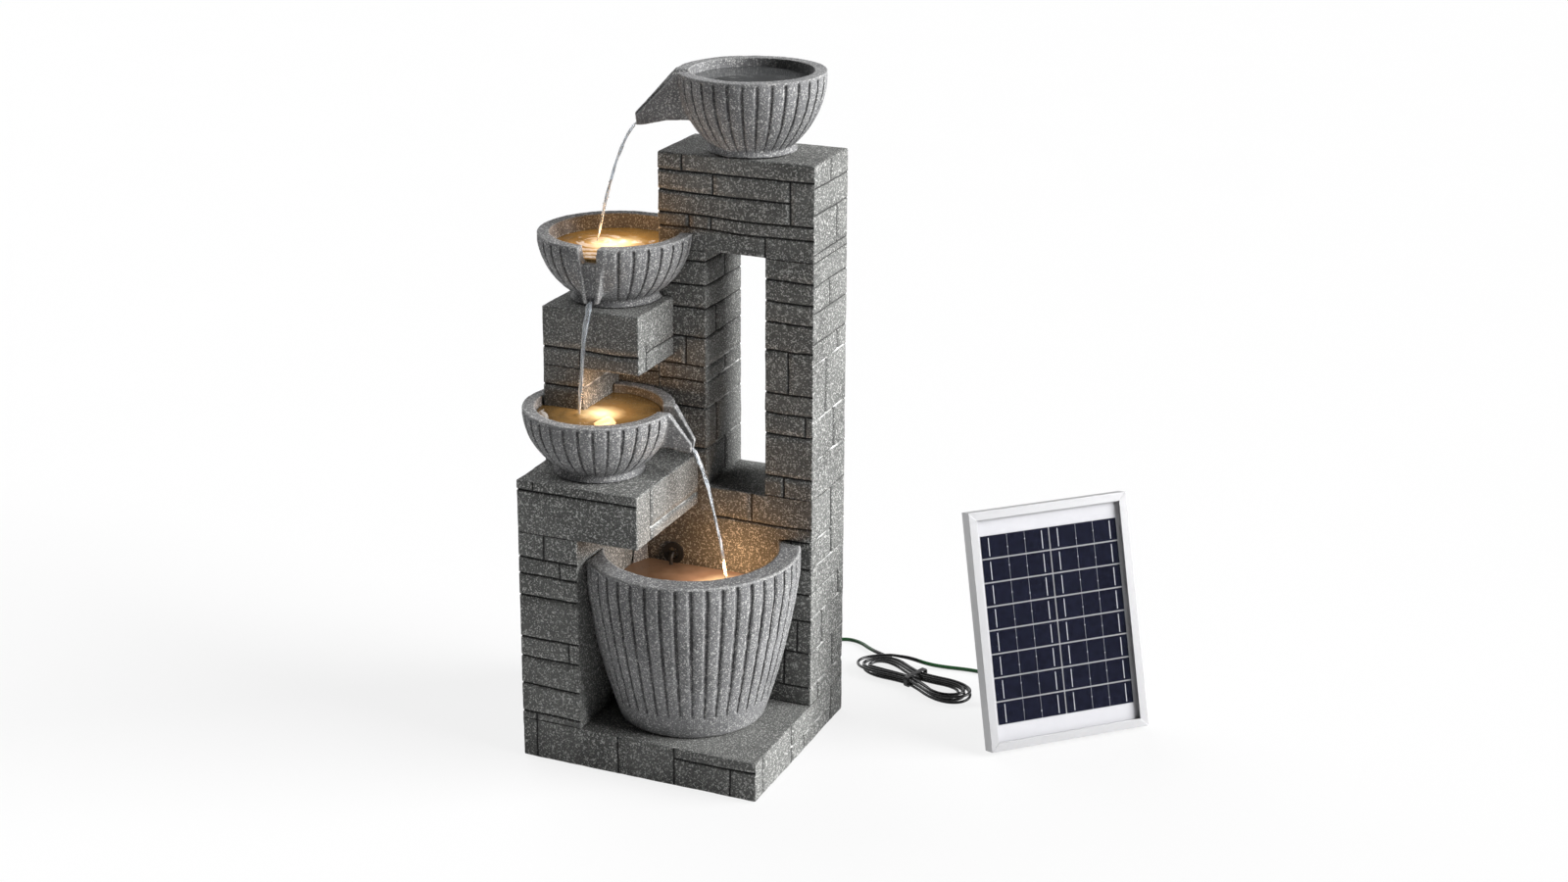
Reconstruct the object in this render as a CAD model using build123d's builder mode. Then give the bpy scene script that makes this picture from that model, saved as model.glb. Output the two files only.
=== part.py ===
from build123d import *
import math
import os
from itertools import pairwise

# Solar cascading fountain: a masonry tower with three fluted bowls that spill into a fluted basin,
# and a solar panel on a folding stand, joined to the tower by a cord with a tied hank.
# Sizes are in millimetres. The origin is the middle of the tower's base, +Z is up, -Y is the front.
os.makedirs("parts", exist_ok=True)

# Tower plan
plinth_width = 270
plinth_depth = 240
wall_depth = 93
pier_width = 70
lower_ledge_width = 139
column_setback = 64
column_width = 48
upper_ledge_width = 112
portal_inset = 94
pillar_width = 55
casting_wall = 9

# Tower heights, from the ground
plinth_top = 44
lower_ledge_under = 255
lower_ledge_depth = 58
lower_ledge_top = lower_ledge_under + lower_ledge_depth
sill_top = lower_ledge_under + 22
upper_ledge_under = 418
upper_ledge_depth = 64
upper_ledge_top = upper_ledge_under + upper_ledge_depth
window_head = 534
lintel_depth = 102
tower_top = window_head + lintel_depth

# Masonry joints, sunk into the faces
joint_width = 2.2
joint_depth = 1.8

# Bowls
rim_flat = 14
foot_radius = 44
foot_apron = 6
bowl_floor = 13
bowl_wall = 11
flute_width = 3.4
flute_depth = 2.0
flute_count = 32
flute_top_margin = 3
top_rim_radius = 77.5
top_bowl_height = 83
second_rim_radius = 81.5
second_bowl_height = 71
third_rim_radius = 79.5
third_bowl_height = 70
belly_rise = 0.42
belly_swell = 0.67
shoulder_rise = 0.88

# Basin pot
pot_rim_radius = 115
pot_rim_flat = 24
pot_foot_radius = 78
pot_height = 184
pot_floor = 16
pot_band = 26
pot_flute_count = 44
pot_flute_width = 4.6
pot_flute_depth = 2.8
pot_belly_radius = 104
pot_belly_rise = 95
pot_shoulder_rise = 160

# Clearances
bond_gap = 0.3
slip_gap = 0.4
running_gap = 0.08

# Pump and hose
pump_width = 36
pump_length = 48
pump_height = 46
pump_wall = 3
pump_foot_height = 5
pump_foot_radius = 5
rotor_radius = 11
shaft_radius = 1.5
shaft_nose = 3.5
hose_radius = 7
hose_bore_radius = 5
hose_bend = 16
hose_rise = 34
outlet_radius = hose_bore_radius - running_gap
dial_radius = 6

# Lights and leads
light_radius = 15
light_height = 8
lens_radius = 10
lens_height = 4
lens_dome = 3
lead_radius = 1.5
lead_bend = 9
lead_hole = 1.9

# Hatch, glands and junction
hatch_width = 92
hatch_height = 120
hatch_sill = 100
hatch_lip = 7
gland_radius = 7
gland_nut_radius = 10
gland_length = 16
junction_size = 40

# Cord
cord_radius = 2.2
cord_gap = 0.7
hank_length = 144
hank_half_width = 26
hank_step = 5.6
hank_draw = 10.5
hank_loops = 3
hank_heading = -20
tie_width = 5
tie_thickness = 1.4

# Solar panel
panel_width = 188
panel_height = 256
panel_depth = 17
panel_heading = 44
panel_lean = 17
frame_wall = 1.6
frame_lip = 9
frame_shelf = 6
frame_flange = 14
glass_thickness = 3.2
cell_thickness = 0.3
sheet_thickness = 0.6
cell_columns = 2
cell_rows = 8
cell_gap = 1.6
cell_side_margin = 4
cell_end_margin = 18

# Control box on the panel's back
box_width = 66
box_height = 80
box_depth = 23
box_wall = 2.2
box_bottom = 70
lid_thickness = 2.6
button_radius = 5.5
button_proud = 2.6
button_travel = 1.5
battery_radius = 9.1
battery_length = 65

# Stand
rod_radius = 3
rail_height = 22
rail_thickness = 3
stand_height = 205
stand_spread = 80
stand_opening = 26
clip_width = 12
clip_wall = 4
tip_wall = 2
tip_length = 16

# Positions worked out from the sizes above
left = -plinth_width / 2
right = plinth_width / 2
front = -plinth_depth / 2
back = plinth_depth / 2
wall_front = back - wall_depth
wall_middle = back - wall_depth / 2
pier_right = left + pier_width
lower_ledge_right = left + lower_ledge_width
column_front = front + column_setback
column_right = left + column_width
upper_ledge_right = left + upper_ledge_width
portal_left = left + portal_inset
window_left = portal_left + pillar_width
window_right = right - pillar_width
left_pillar_middle = portal_left + pillar_width / 2

# Where the bowls, the basin and their spouts stand
top_axis = (46, wall_middle)
second_axis = (-80, 8)
third_axis = (-71, -54)
pot_axis = (19, -23)
pot_light = (58, -42)


def write(piece, label):
    """Label a finished piece and write it as its own file."""
    piece.part.label = label
    export_step(piece.part, f"parts/{label}.step")


def block(x_span, y_span, z_span, mode=Mode.ADD):
    """Add or cut a box between two coordinates on each axis."""
    spans = (x_span, y_span, z_span)
    with Locations(tuple((low + high) / 2 for low, high in spans)):
        Box(*(high - low for low, high in spans), mode=mode)


def inset(span, amount=casting_wall):
    """Draw both ends of a span in by a wall."""
    return (span[0] + amount, span[1] - amount)


SIDES = {
    "front": ((1, 0, 0), (0, -1, 0), 1),
    "back": ((-1, 0, 0), (0, 1, 0), -1),
    "right": ((0, 1, 0), (1, 0, 0), 1),
    "left": ((0, -1, 0), (-1, 0, 0), -1),
}


def joints(side, face_at, span, beds, uprights):
    """Sink masonry joints into one upright face of the piece in hand.

    Beds are heights that run across the span, uprights are (place, low, high)."""
    along, outward, sign = SIDES[side]
    origin = tuple(face_at * abs(part) for part in outward)
    with BuildSketch(Plane(origin=origin, x_dir=along, z_dir=outward)) as pattern:
        for height in beds:
            with Locations((sign * sum(span) / 2, height)):
                Rectangle(span[1] - span[0], joint_width)
        for place, low, high in uprights:
            with Locations((sign * place, (low + high) / 2)):
                Rectangle(joint_width, high - low)
    extrude(pattern.sketch, amount=-joint_depth, mode=Mode.SUBTRACT)


def staggered(span, levels, shares=(0.3, 0.62)):
    """Upright joints that step from course to course, for a face the photograph doesn't show."""
    low, high = span
    return [
        (low + (high - low) * shares[row % len(shares)], under, over)
        for row, (under, over) in enumerate(pairwise(levels))
    ]


# Plinth: a hollow slab, open underneath
with BuildPart() as plinth:
    plinth_x = (left, right)
    plinth_y = (front, back)
    block(plinth_x, plinth_y, (0, plinth_top))
    block(inset(plinth_x), inset(plinth_y), (-1, plinth_top - casting_wall), Mode.SUBTRACT)
    plinth_bed = plinth_top - 12
    joints("front", front, (42, right), (plinth_bed,),
           ((-118, 0, plinth_top), (-23, 0, plinth_top), (42, 0, plinth_top), (106, 0, plinth_bed)))
    joints("right", right, (-24, 87), (plinth_bed - 14,),
           ((-99, 0, plinth_top), (-24, 0, plinth_top), (11, 0, plinth_bed - 14), (87, 0, plinth_top)))
    joints("back", back, (-60, right), (plinth_bed - 6,),
           ((-60, 0, plinth_top), (40, 0, plinth_top), (88, 0, plinth_bed - 6)))
    joints("left", left, (front, 30), (plinth_bed,),
           ((-70, 0, plinth_bed), (30, 0, plinth_top), (86, 0, plinth_top)))
    # way for the basin light's lead, from the basin down and up into the rear wall
    with Locations((*pot_light, plinth_top), (pot_light[0], wall_middle, plinth_top)):
        Cylinder(lead_hole, 4 * casting_wall, mode=Mode.SUBTRACT)
write(plinth, "plinth")

# Left pier: a hollow square shaft
pier_x = (left, pier_right)
pier_y = (front, wall_front)
lead_duct_x = (left + casting_wall + 8, left + casting_wall + 20)
lead_duct_height = 150
with BuildPart() as left_pier:
    pier_z = (plinth_top, lower_ledge_under)
    block(pier_x, pier_y, pier_z)
    block(inset(pier_x), inset(pier_y), (plinth_top - 1, lower_ledge_under + 1), Mode.SUBTRACT)
    pier_beds = (51.5, 84, 115.5, 137.5, 185, 209, 227)
    joints("front", front, pier_x, pier_beds,
           ((-105, 227, lower_ledge_under), (-87, 209, 227), (-78, 115.5, 137.5), (-118, plinth_top, 51.5)))
    joints("left", left, pier_y, pier_beds, staggered(pier_y, (plinth_top, *pier_beds, lower_ledge_under)))
    with Locations(*((x, wall_front, lead_duct_height) for x in lead_duct_x)):
        Cylinder(lead_hole, 4 * casting_wall, rotation=(90, 0, 0), mode=Mode.SUBTRACT)
write(left_pier, "left_pier")

# Lower ledge: carries the third bowl and overhangs the basin
with BuildPart() as lower_ledge:
    ledge_x = (left, lower_ledge_right)
    ledge_z = (lower_ledge_under, lower_ledge_top)
    block(ledge_x, pier_y, ledge_z)
    block(inset(ledge_x), inset(pier_y), inset(ledge_z), Mode.SUBTRACT)
    block(inset(pier_x), inset(pier_y), (lower_ledge_under - 1, lower_ledge_top - 2 * casting_wall),
          Mode.SUBTRACT)
    ledge_bed = lower_ledge_top - 11
    joints("front", front, ledge_x, (ledge_bed,), ((-116, ledge_bed, lower_ledge_top),))
    joints("left", left, pier_y, (ledge_bed,), ((-60, lower_ledge_under, ledge_bed),))
    joints("right", lower_ledge_right, (-86, wall_front), (lower_ledge_under + 14,),
           ((-86, lower_ledge_under, lower_ledge_top),))
    # ways for the light leads
    with Locations((*third_axis, lower_ledge_top), (lead_duct_x[1], second_axis[1], lower_ledge_top)):
        Cylinder(lead_hole, 4 * casting_wall, mode=Mode.SUBTRACT)
write(lower_ledge, "lower_ledge")

# Left column: a hollow shaft that stands in the third bowl
column_x = (left, column_right)
column_y = (column_front, wall_front)
with BuildPart() as left_column:
    column_z = (lower_ledge_top, upper_ledge_under)
    block(column_x, column_y, column_z)
    block(inset(column_x), inset(column_y), (lower_ledge_top - 1, upper_ledge_under + 1), Mode.SUBTRACT)
    column_beds = (345, 372, 397)
    joints("front", column_front, column_x, column_beds, ((-112, 372, 397),))
    joints("left", left, column_y, column_beds, staggered(column_y, (lower_ledge_top, *column_beds)))
    joints("right", column_right, column_y, column_beds, ())
write(left_column, "left_column")

# Upper ledge: carries the front of the second bowl
with BuildPart() as upper_ledge:
    upper_x = (left, upper_ledge_right)
    upper_z = (upper_ledge_under, upper_ledge_top)
    block(upper_x, column_y, upper_z)
    block(inset(upper_x), inset(column_y), inset(upper_z), Mode.SUBTRACT)
    block(inset(column_x), inset(column_y), (upper_ledge_under - 1, upper_ledge_top - 2 * casting_wall),
          Mode.SUBTRACT)
    upper_bed = upper_ledge_under + 20
    joints("front", column_front, upper_x, (upper_bed,), ((-91, upper_ledge_under, upper_bed),))
    joints("left", left, column_y, (upper_bed,), ((-20, upper_bed, upper_ledge_top),))
    joints("right", upper_ledge_right, (-36, wall_front), (upper_bed,),
           ((-36, upper_ledge_under, upper_ledge_under + 34),))
    with Locations((*second_axis, upper_ledge_top)):
        Cylinder(lead_hole, 4 * casting_wall, mode=Mode.SUBTRACT)
write(upper_ledge, "upper_ledge")

# Rear wall: a hollow wall behind the basin, with the hatch opening and the cord's way out at the back
rear_y = (wall_front, back)
hatch_x = (-68, -68 + hatch_width)
hatch_z = (hatch_sill, hatch_sill + hatch_height)
grommet_place = (-25, 195)
cord_exit = (50, 72)
grommet_radius = 9.5
pump_outlet = (left_pillar_middle, -13)
riser_level = plinth_top + pot_floor + pump_foot_height + pump_height + hose_rise
with BuildPart() as rear_wall:
    wall_x = (left, right)
    wall_z = (plinth_top, sill_top)
    block(wall_x, rear_y, wall_z)
    block(inset(wall_x), inset(rear_y), inset(wall_z), Mode.SUBTRACT)
    # the basin's back is smooth, so the low joints start beside the pot
    joints("front", wall_front, (pot_axis[0] + pot_foot_radius, right), (64, 103, 140, 171, 199, 229),
           ((110, 199, 229), (118, 103, 140), (104, 64, 103)))
    joints("front", wall_front, (pot_axis[0], right), (244,), ((66, 244, sill_top),))
    right_beds = (63.5, 103, 143, 171, 199, 229)
    joints("right", right, rear_y, right_beds,
           ((82, 199, sill_top), (105, 143, 171), (60, 103, 143), (90, 63.5, 103), (50, plinth_top, 63.5)))
    joints("left", left, rear_y, right_beds, staggered(rear_y, (plinth_top, *right_beds, sill_top)))
    back_beds = (63.5, 86, 229, 252)
    joints("back", back, wall_x, back_beds,
           (*staggered(wall_x, (plinth_top, *back_beds, sill_top)),
            *staggered(wall_x, (plinth_top, *back_beds, sill_top), (0.82, 0.12))))
    block(hatch_x, (back - casting_wall - 1, back + 1), hatch_z, Mode.SUBTRACT)
    # grommet hole to the basin, lead holes from the pier and the plinth, cord gland hole at the back
    with Locations((grommet_place[0], wall_front, grommet_place[1])):
        Cylinder(grommet_radius, 4 * casting_wall, rotation=(90, 0, 0), mode=Mode.SUBTRACT)
    with Locations(*((x, wall_front, lead_duct_height) for x in lead_duct_x)):
        Cylinder(lead_hole, 4 * casting_wall, rotation=(90, 0, 0), mode=Mode.SUBTRACT)
    with Locations((pot_light[0], wall_middle, plinth_top)):
        Cylinder(lead_hole, 4 * casting_wall, mode=Mode.SUBTRACT)
    # ways for the riser hose, in from the basin and up into the left pillar
    with Locations((left_pillar_middle, wall_front, riser_level)):
        Cylinder(hose_radius + 1, 4 * casting_wall, rotation=(90, 0, 0), mode=Mode.SUBTRACT)
    with Locations((left_pillar_middle, wall_middle, sill_top)):
        Cylinder(hose_radius + 1, 4 * casting_wall, mode=Mode.SUBTRACT)
    with Locations((cord_exit[0], back, cord_exit[1])):
        Cylinder(gland_radius, 4 * casting_wall, rotation=(90, 0, 0), mode=Mode.SUBTRACT)
    fillet(rear_wall.edges().filter_by(Axis.X).group_by(Axis.Z)[-1].sort_by(Axis.Y)[0], 6)
write(rear_wall, "rear_wall")

# Rear column: stands on the rear wall behind the ledges and carries the second bowl's back
rear_column_x = (left, portal_left)
with BuildPart() as rear_column:
    block(rear_column_x, rear_y, (sill_top, upper_ledge_top))
    block(inset(rear_column_x), inset(rear_y), (sill_top - 1, upper_ledge_top - casting_wall), Mode.SUBTRACT)
    rear_beds = (318, 345, 391, 424, 447)
    rear_levels = (sill_top, *rear_beds, upper_ledge_top)
    joints("front", wall_front, (column_right, portal_left), (345, 372, 397), ())
    joints("back", back, rear_column_x, rear_beds, staggered(rear_column_x, rear_levels))
    joints("left", left, rear_y, rear_beds, staggered(rear_y, rear_levels, (0.7, 0.4)))
write(rear_column, "rear_column")

# Portal pillars: two hollow shafts either side of the window
pillar_z = (sill_top, window_head)
left_pillar_x = (portal_left, window_left)
with BuildPart() as left_pillar:
    block(left_pillar_x, rear_y, pillar_z)
    block(inset(left_pillar_x), inset(rear_y), (sill_top - 1, window_head + 1), Mode.SUBTRACT)
    left_beds = (318, 363, 392, 409, 440, 471, 496, 522)
    left_levels = (sill_top, *left_beds, window_head)
    joints("front", wall_front, left_pillar_x, left_beds, ((-9, 409, 440), (-22, 318, 363)))
    joints("right", window_left, rear_y, left_beds, staggered(rear_y, left_levels, (0.55, 0.3)))
    joints("back", back, left_pillar_x, left_beds, staggered(left_pillar_x, left_levels))
write(left_pillar, "left_pillar")

right_pillar_x = (window_right, right)
with BuildPart() as right_pillar:
    block(right_pillar_x, rear_y, pillar_z)
    block(inset(right_pillar_x), inset(rear_y), (sill_top - 1, window_head + 1), Mode.SUBTRACT)
    front_beds = (299.5, 346, 369, 391, 437, 467, 489.5, 512.5)
    side_beds = (318, 363, 424, 447, 480, 508)
    side_levels = (sill_top, *side_beds, window_head)
    joints("front", wall_front, right_pillar_x, front_beds,
           ((106, 391, 437), (125, 346, 369), (102, sill_top, 299.5)))
    joints("right", right, rear_y, side_beds,
           ((73, 480, 508), (95, 424, 447), (64, 363, 424), (87, 318, 363)))
    joints("left", window_right, rear_y, front_beds, staggered(rear_y, (sill_top, *front_beds), (0.6, 0.35)))
    joints("back", back, right_pillar_x, side_beds, staggered(right_pillar_x, side_levels))
write(right_pillar, "right_pillar")

# Lintel block: bridges the window and carries the top bowl
lintel_x = (portal_left, right)
lintel_z = (window_head, tower_top)
nozzle_radius = hose_radius + 1.5
with BuildPart() as lintel:
    block(lintel_x, rear_y, lintel_z)
    block(inset(lintel_x), inset(rear_y), inset(lintel_z), Mode.SUBTRACT)
    joints("front", wall_front, lintel_x, (557, 571, 617),
           ((-12, 617, tower_top), (22, 594.5, 617), (108, 571, 617), (-6, 557, 571), (19, 557, 571),
            (80, window_head, 557)))
    joints("front", wall_front, (portal_left, 108), (594.5,), ())
    joints("right", right, rear_y, (542, 583, 611), ((72, 611, tower_top), (91, 542, 583)))
    joints("left", portal_left, rear_y, (557, 571, 594.5, 617), ((70, 571, 594.5), (96, 594.5, 617)))
    lintel_levels = (window_head, 557, 583, 611, tower_top)
    joints("back", back, lintel_x, (557, 583, 611),
           (*staggered(lintel_x, lintel_levels), *staggered(lintel_x, lintel_levels, (0.78, 0.15))))
    with Locations((left_pillar_middle, wall_middle, window_head)):
        Cylinder(hose_radius + 1, 4 * casting_wall, mode=Mode.SUBTRACT)
    with Locations((*top_axis, tower_top)):
        Cylinder(nozzle_radius + slip_gap, 4 * casting_wall, mode=Mode.SUBTRACT)
write(lintel, "lintel")


def spout_solids(base, rim_radius, height, tip_radius, tip_rise, root_radius, notch):
    """A beaked spout and the channel cut down its middle, on a bowl's own plane.

    The beak runs from the rim to the tip, and narrows as it falls."""
    section = Plane(origin=base.origin, x_dir=base.x_dir, z_dir=-base.y_dir)
    face_on = Plane(origin=base.origin, x_dir=base.y_dir, z_dir=base.x_dir)
    lip = 7
    beak_top_half = 19
    beak_tip_half = 7.5
    channel_top_half = 10.5
    channel_tip_half = 3.5
    reach = tip_radius + rim_radius
    with BuildPart() as beak:
        with BuildSketch(section):
            with BuildLine():
                Polyline(
                    (rim_radius - rim_flat + 2, height),
                    (rim_radius - 0.5, height),
                    (tip_radius + 1, tip_rise + lip),
                    (tip_radius, tip_rise - lip / 2),
                    (tip_radius - lip, tip_rise - lip / 2),
                    (root_radius + (tip_radius - root_radius) / 2, tip_rise + 1),
                    (root_radius, tip_rise + 1),
                    close=True,
                )
            make_face()
        extrude(amount=2 * beak_top_half, both=True)
        with BuildSketch(face_on):
            with BuildLine():
                Polyline(
                    (-beak_top_half, height), (beak_top_half, height),
                    (beak_tip_half, tip_rise - lip), (-beak_tip_half, tip_rise - lip), close=True,
                )
            make_face()
        extrude(amount=reach, mode=Mode.INTERSECT)
    with BuildPart() as channel:
        with BuildSketch(section):
            with BuildLine():
                Polyline(
                    (rim_radius - 2 * rim_flat, height - notch),
                    (rim_radius - rim_flat / 2, height - notch),
                    (tip_radius - 4, tip_rise),
                    (tip_radius + lip, tip_rise - lip),
                    (reach, height + lip),
                    (rim_radius - 2 * rim_flat, height + lip),
                    close=True,
                )
            make_face()
        extrude(amount=2 * beak_top_half, both=True)
        with BuildSketch(face_on):
            with BuildLine():
                Polyline(
                    (-channel_top_half, height + lip), (channel_top_half, height + lip),
                    (channel_tip_half, tip_rise - lip), (-channel_tip_half, tip_rise - lip), close=True,
                )
            make_face()
        extrude(amount=reach, mode=Mode.INTERSECT)
    return beak.part, channel.part


def make_bowl(axis, seat, rim_radius, height, heading, spout, floor_hole, cuts):
    """A fluted bowl on a flared foot, with a spout at its heading and the tower's corners cut out."""
    turn = math.radians(heading)
    base = Plane(origin=(*axis, seat), x_dir=(math.cos(turn), math.sin(turn), 0), z_dir=(0, 0, 1))
    section = Plane(origin=base.origin, x_dir=base.x_dir, z_dir=-base.y_dir)
    belly = foot_radius + belly_swell * (rim_radius - foot_radius)
    belly_height = belly_rise * height
    shoulder = shoulder_rise * height
    flute_turn = math.degrees(flute_width / rim_radius)
    flute_pitch = 360 / flute_count
    beak, channel = spout_solids(base, rim_radius, height, **spout)
    with BuildPart() as flute:
        with BuildSketch(Plane.XZ):
            with BuildLine():
                ThreePointArc(
                    (foot_radius - flute_depth, foot_apron),
                    (belly - flute_depth, belly_height),
                    (rim_radius - flute_depth, shoulder),
                )
                Polyline(
                    (rim_radius - flute_depth, shoulder),
                    (rim_radius - flute_depth, height - flute_top_margin),
                    (rim_radius + foot_apron, height - flute_top_margin),
                    (rim_radius + foot_apron, foot_apron),
                    (foot_radius - flute_depth, foot_apron),
                )
            make_face()
        revolve(axis=Axis.Z, revolution_arc=flute_turn)
    with BuildPart() as bowl:
        with BuildSketch(section):
            with BuildLine():
                Polyline(
                    (0, 0),
                    (foot_radius + foot_apron, 0),
                    (foot_radius + 0.3 * foot_apron, 0.3 * foot_apron),
                    (foot_radius, foot_apron),
                )
                ThreePointArc((foot_radius, foot_apron), (belly, belly_height), (rim_radius, shoulder))
                Polyline((rim_radius, shoulder), (rim_radius, height), (rim_radius - rim_flat, height))
                ThreePointArc(
                    (rim_radius - rim_flat, height),
                    (belly - bowl_wall, belly_height + bowl_floor / 3),
                    (foot_radius - bowl_wall, bowl_floor),
                )
                Polyline((foot_radius - bowl_wall, bowl_floor), (0, bowl_floor), (0, 0))
            make_face()
        revolve(axis=Axis(base.origin, (0, 0, 1)))
        with Locations(base.location):
            with PolarLocations(0, flute_count - 3, start_angle=2 * flute_pitch - flute_turn / 2,
                                angular_range=(flute_count - 3) * flute_pitch):
                add(flute.part, mode=Mode.SUBTRACT)
        add(beak)
        add(channel, mode=Mode.SUBTRACT)
        with Locations(base.location):
            Cylinder(floor_hole, 4 * bowl_floor, mode=Mode.SUBTRACT)
        for x_span, y_span in cuts:
            block(x_span, y_span, (seat - 1, seat + height + 1), Mode.SUBTRACT)
    return bowl


far = 400
top_spout = {"tip_radius": 119, "tip_rise": 31, "root_radius": 58, "notch": 13}
top_bowl = make_bowl(
    top_axis, tower_top, top_rim_radius, top_bowl_height, 207, top_spout, nozzle_radius + slip_gap, ()
)
write(top_bowl, "top_bowl")

second_spout = {"tip_radius": 74, "tip_rise": 14, "root_radius": 54, "notch": 18}
second_bowl = make_bowl(
    second_axis, upper_ledge_top, second_rim_radius, second_bowl_height, -84, second_spout, lead_hole,
    (((portal_left - bond_gap, far), (wall_front - bond_gap, far)),),
)
write(second_bowl, "second_bowl")

third_spout = {"tip_radius": 100, "tip_rise": 29, "root_radius": 56, "notch": 15}
third_bowl = make_bowl(
    third_axis, lower_ledge_top, third_rim_radius, third_bowl_height, 11, third_spout, lead_hole,
    (((left - bond_gap, column_right + bond_gap), (column_front - bond_gap, far)),
     ((-far, far), (wall_front - bond_gap, far))),
)
write(third_bowl, "third_bowl")

# Basin pot: fluted outside, cut flat where the pier and the rear wall close its sides
pot_plane = Plane(origin=(*pot_axis, plinth_top))
pot_section = Plane(origin=pot_plane.origin, x_dir=(1, 0, 0), z_dir=(0, -1, 0))
pot_flute_turn = math.degrees(pot_flute_width / pot_rim_radius)
with BuildPart() as pot_flute:
    with BuildSketch(Plane.XZ):
        with BuildLine():
            pot_groove_foot = pot_foot_radius + (pot_belly_radius - pot_foot_radius) * pot_band / pot_belly_rise
            ThreePointArc(
                (pot_groove_foot, pot_band),
                (pot_belly_radius - pot_flute_depth, pot_belly_rise),
                (pot_rim_radius - pot_flute_depth, pot_shoulder_rise),
            )
            Polyline(
                (pot_rim_radius - pot_flute_depth, pot_shoulder_rise),
                (pot_rim_radius - pot_flute_depth, pot_height - flute_top_margin),
                (pot_rim_radius + foot_apron, pot_height - flute_top_margin),
                (pot_rim_radius + foot_apron, pot_band),
                (pot_groove_foot, pot_band),
            )
        make_face()
    revolve(axis=Axis.Z, revolution_arc=pot_flute_turn)

with BuildPart() as basin_pot:
    with BuildSketch(pot_section):
        with BuildLine():
            Line((0, 0), (pot_foot_radius, 0))
            ThreePointArc(
                (pot_foot_radius, 0), (pot_belly_radius, pot_belly_rise), (pot_rim_radius, pot_shoulder_rise)
            )
            Polyline(
                (pot_rim_radius, pot_shoulder_rise),
                (pot_rim_radius, pot_height),
                (pot_rim_radius - pot_rim_flat, pot_height),
            )
            pot_inner_foot = pot_foot_radius - bowl_wall
            ThreePointArc(
                (pot_rim_radius - pot_rim_flat, pot_height),
                (pot_belly_radius - 2 * bowl_wall, pot_belly_rise),
                (pot_inner_foot, pot_floor),
            )
            Polyline((pot_inner_foot, pot_floor), (0, pot_floor), (0, 0))
        make_face()
    revolve(axis=Axis(pot_plane.origin, (0, 0, 1)))
    with Locations(pot_plane.location):
        with PolarLocations(0, pot_flute_count, start_angle=-pot_flute_turn / 2):
            add(pot_flute.part, mode=Mode.SUBTRACT)
    pot_span = (plinth_top - 1, plinth_top + pot_height + 1)
    block((-far, pier_right + bond_gap), (-far, far), pot_span, Mode.SUBTRACT)
    block((-far, far), (wall_front - bond_gap, far), pot_span, Mode.SUBTRACT)
    with Locations((*pot_light, plinth_top)):
        Cylinder(lead_hole, 4 * pot_floor, mode=Mode.SUBTRACT)
write(basin_pot, "basin_pot")

# Rear hatch: a plate that pulls straight out of the rear wall, with a finger slot
with BuildPart() as rear_hatch:
    block(inset(hatch_x, slip_gap), (back - casting_wall, back), inset(hatch_z, slip_gap))
    block(inset(hatch_x, -hatch_lip), (back, back + hatch_lip / 2), inset(hatch_z, -hatch_lip))
    chamfer(rear_hatch.faces().sort_by(Axis.Y)[-1].edges(), 1.5)
    hatch_middle = sum(hatch_x) / 2
    with Locations((hatch_middle, back + hatch_lip / 2, hatch_z[1] - 2 * hatch_lip)):
        Box(30, hatch_lip, 8, mode=Mode.SUBTRACT)
write(rear_hatch, "rear_hatch")

# Black rubber grommet in the wall behind the basin, with the pump lead's hole
pump_lead_radius = 2
with BuildPart() as cable_grommet:
    with BuildSketch(Plane(origin=(grommet_place[0], wall_front - 2.5, grommet_place[1]), z_dir=(0, 1, 0))):
        Circle(grommet_radius + 2.5)
    extrude(amount=2.5 - bond_gap)
    with BuildSketch(Plane(origin=(grommet_place[0], wall_front - 2.5, grommet_place[1]), z_dir=(0, 1, 0))):
        Circle(grommet_radius - bond_gap)
    extrude(amount=2.5 + casting_wall)
    with Locations((grommet_place[0], wall_front - 2.5, grommet_place[1])):
        Cylinder(grommet_radius - 3, 2 * (casting_wall - 2), rotation=(90, 0, 0), mode=Mode.SUBTRACT)
        Cylinder(pump_lead_radius + running_gap, 4 * casting_wall, rotation=(90, 0, 0), mode=Mode.SUBTRACT)
write(cable_grommet, "cable_grommet")

# Pump: a body with a rotor well at its front and an outlet on top
pump_floor = plinth_top + pot_floor + pump_foot_height
pump_x = (pump_outlet[0] - pump_width / 2 - 4, pump_outlet[0] + pump_width / 2 - 4)
pump_middle = sum(pump_x) / 2
pump_y = (pump_outlet[1] - pump_length / 2, pump_outlet[1] + pump_length / 2)
pump_z = (pump_floor, pump_floor + pump_height)
rotor_axis_z = pump_floor + pump_height / 2 - 3
well_radius = rotor_radius + 1
well_depth = 30
outlet_rise = 14
with BuildPart() as pump_body:
    block(pump_x, pump_y, pump_z)
    fillet(pump_body.edges().filter_by(Axis.Z), 5)
    fillet(pump_body.faces().sort_by(Axis.Z)[-1].edges(), 3)
    with Locations((pump_middle, pump_y[0], rotor_axis_z)):
        Cylinder(well_radius, 2 * well_depth, rotation=(90, 0, 0), mode=Mode.SUBTRACT)
        Cylinder(shaft_radius + running_gap, 2 * (well_depth + 8), rotation=(90, 0, 0), mode=Mode.SUBTRACT)
    with BuildSketch(Plane.XY.offset(pump_z[1])):
        with Locations(pump_outlet):
            Circle(outlet_radius)
    extrude(amount=outlet_rise)
    with BuildSketch(Plane.XY.offset(pump_z[1] + outlet_rise)):
        with Locations(pump_outlet):
            Circle(outlet_radius - 1.6)
    extrude(amount=-(outlet_rise + pump_height / 2), mode=Mode.SUBTRACT)
write(pump_body, "pump_body")

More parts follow.
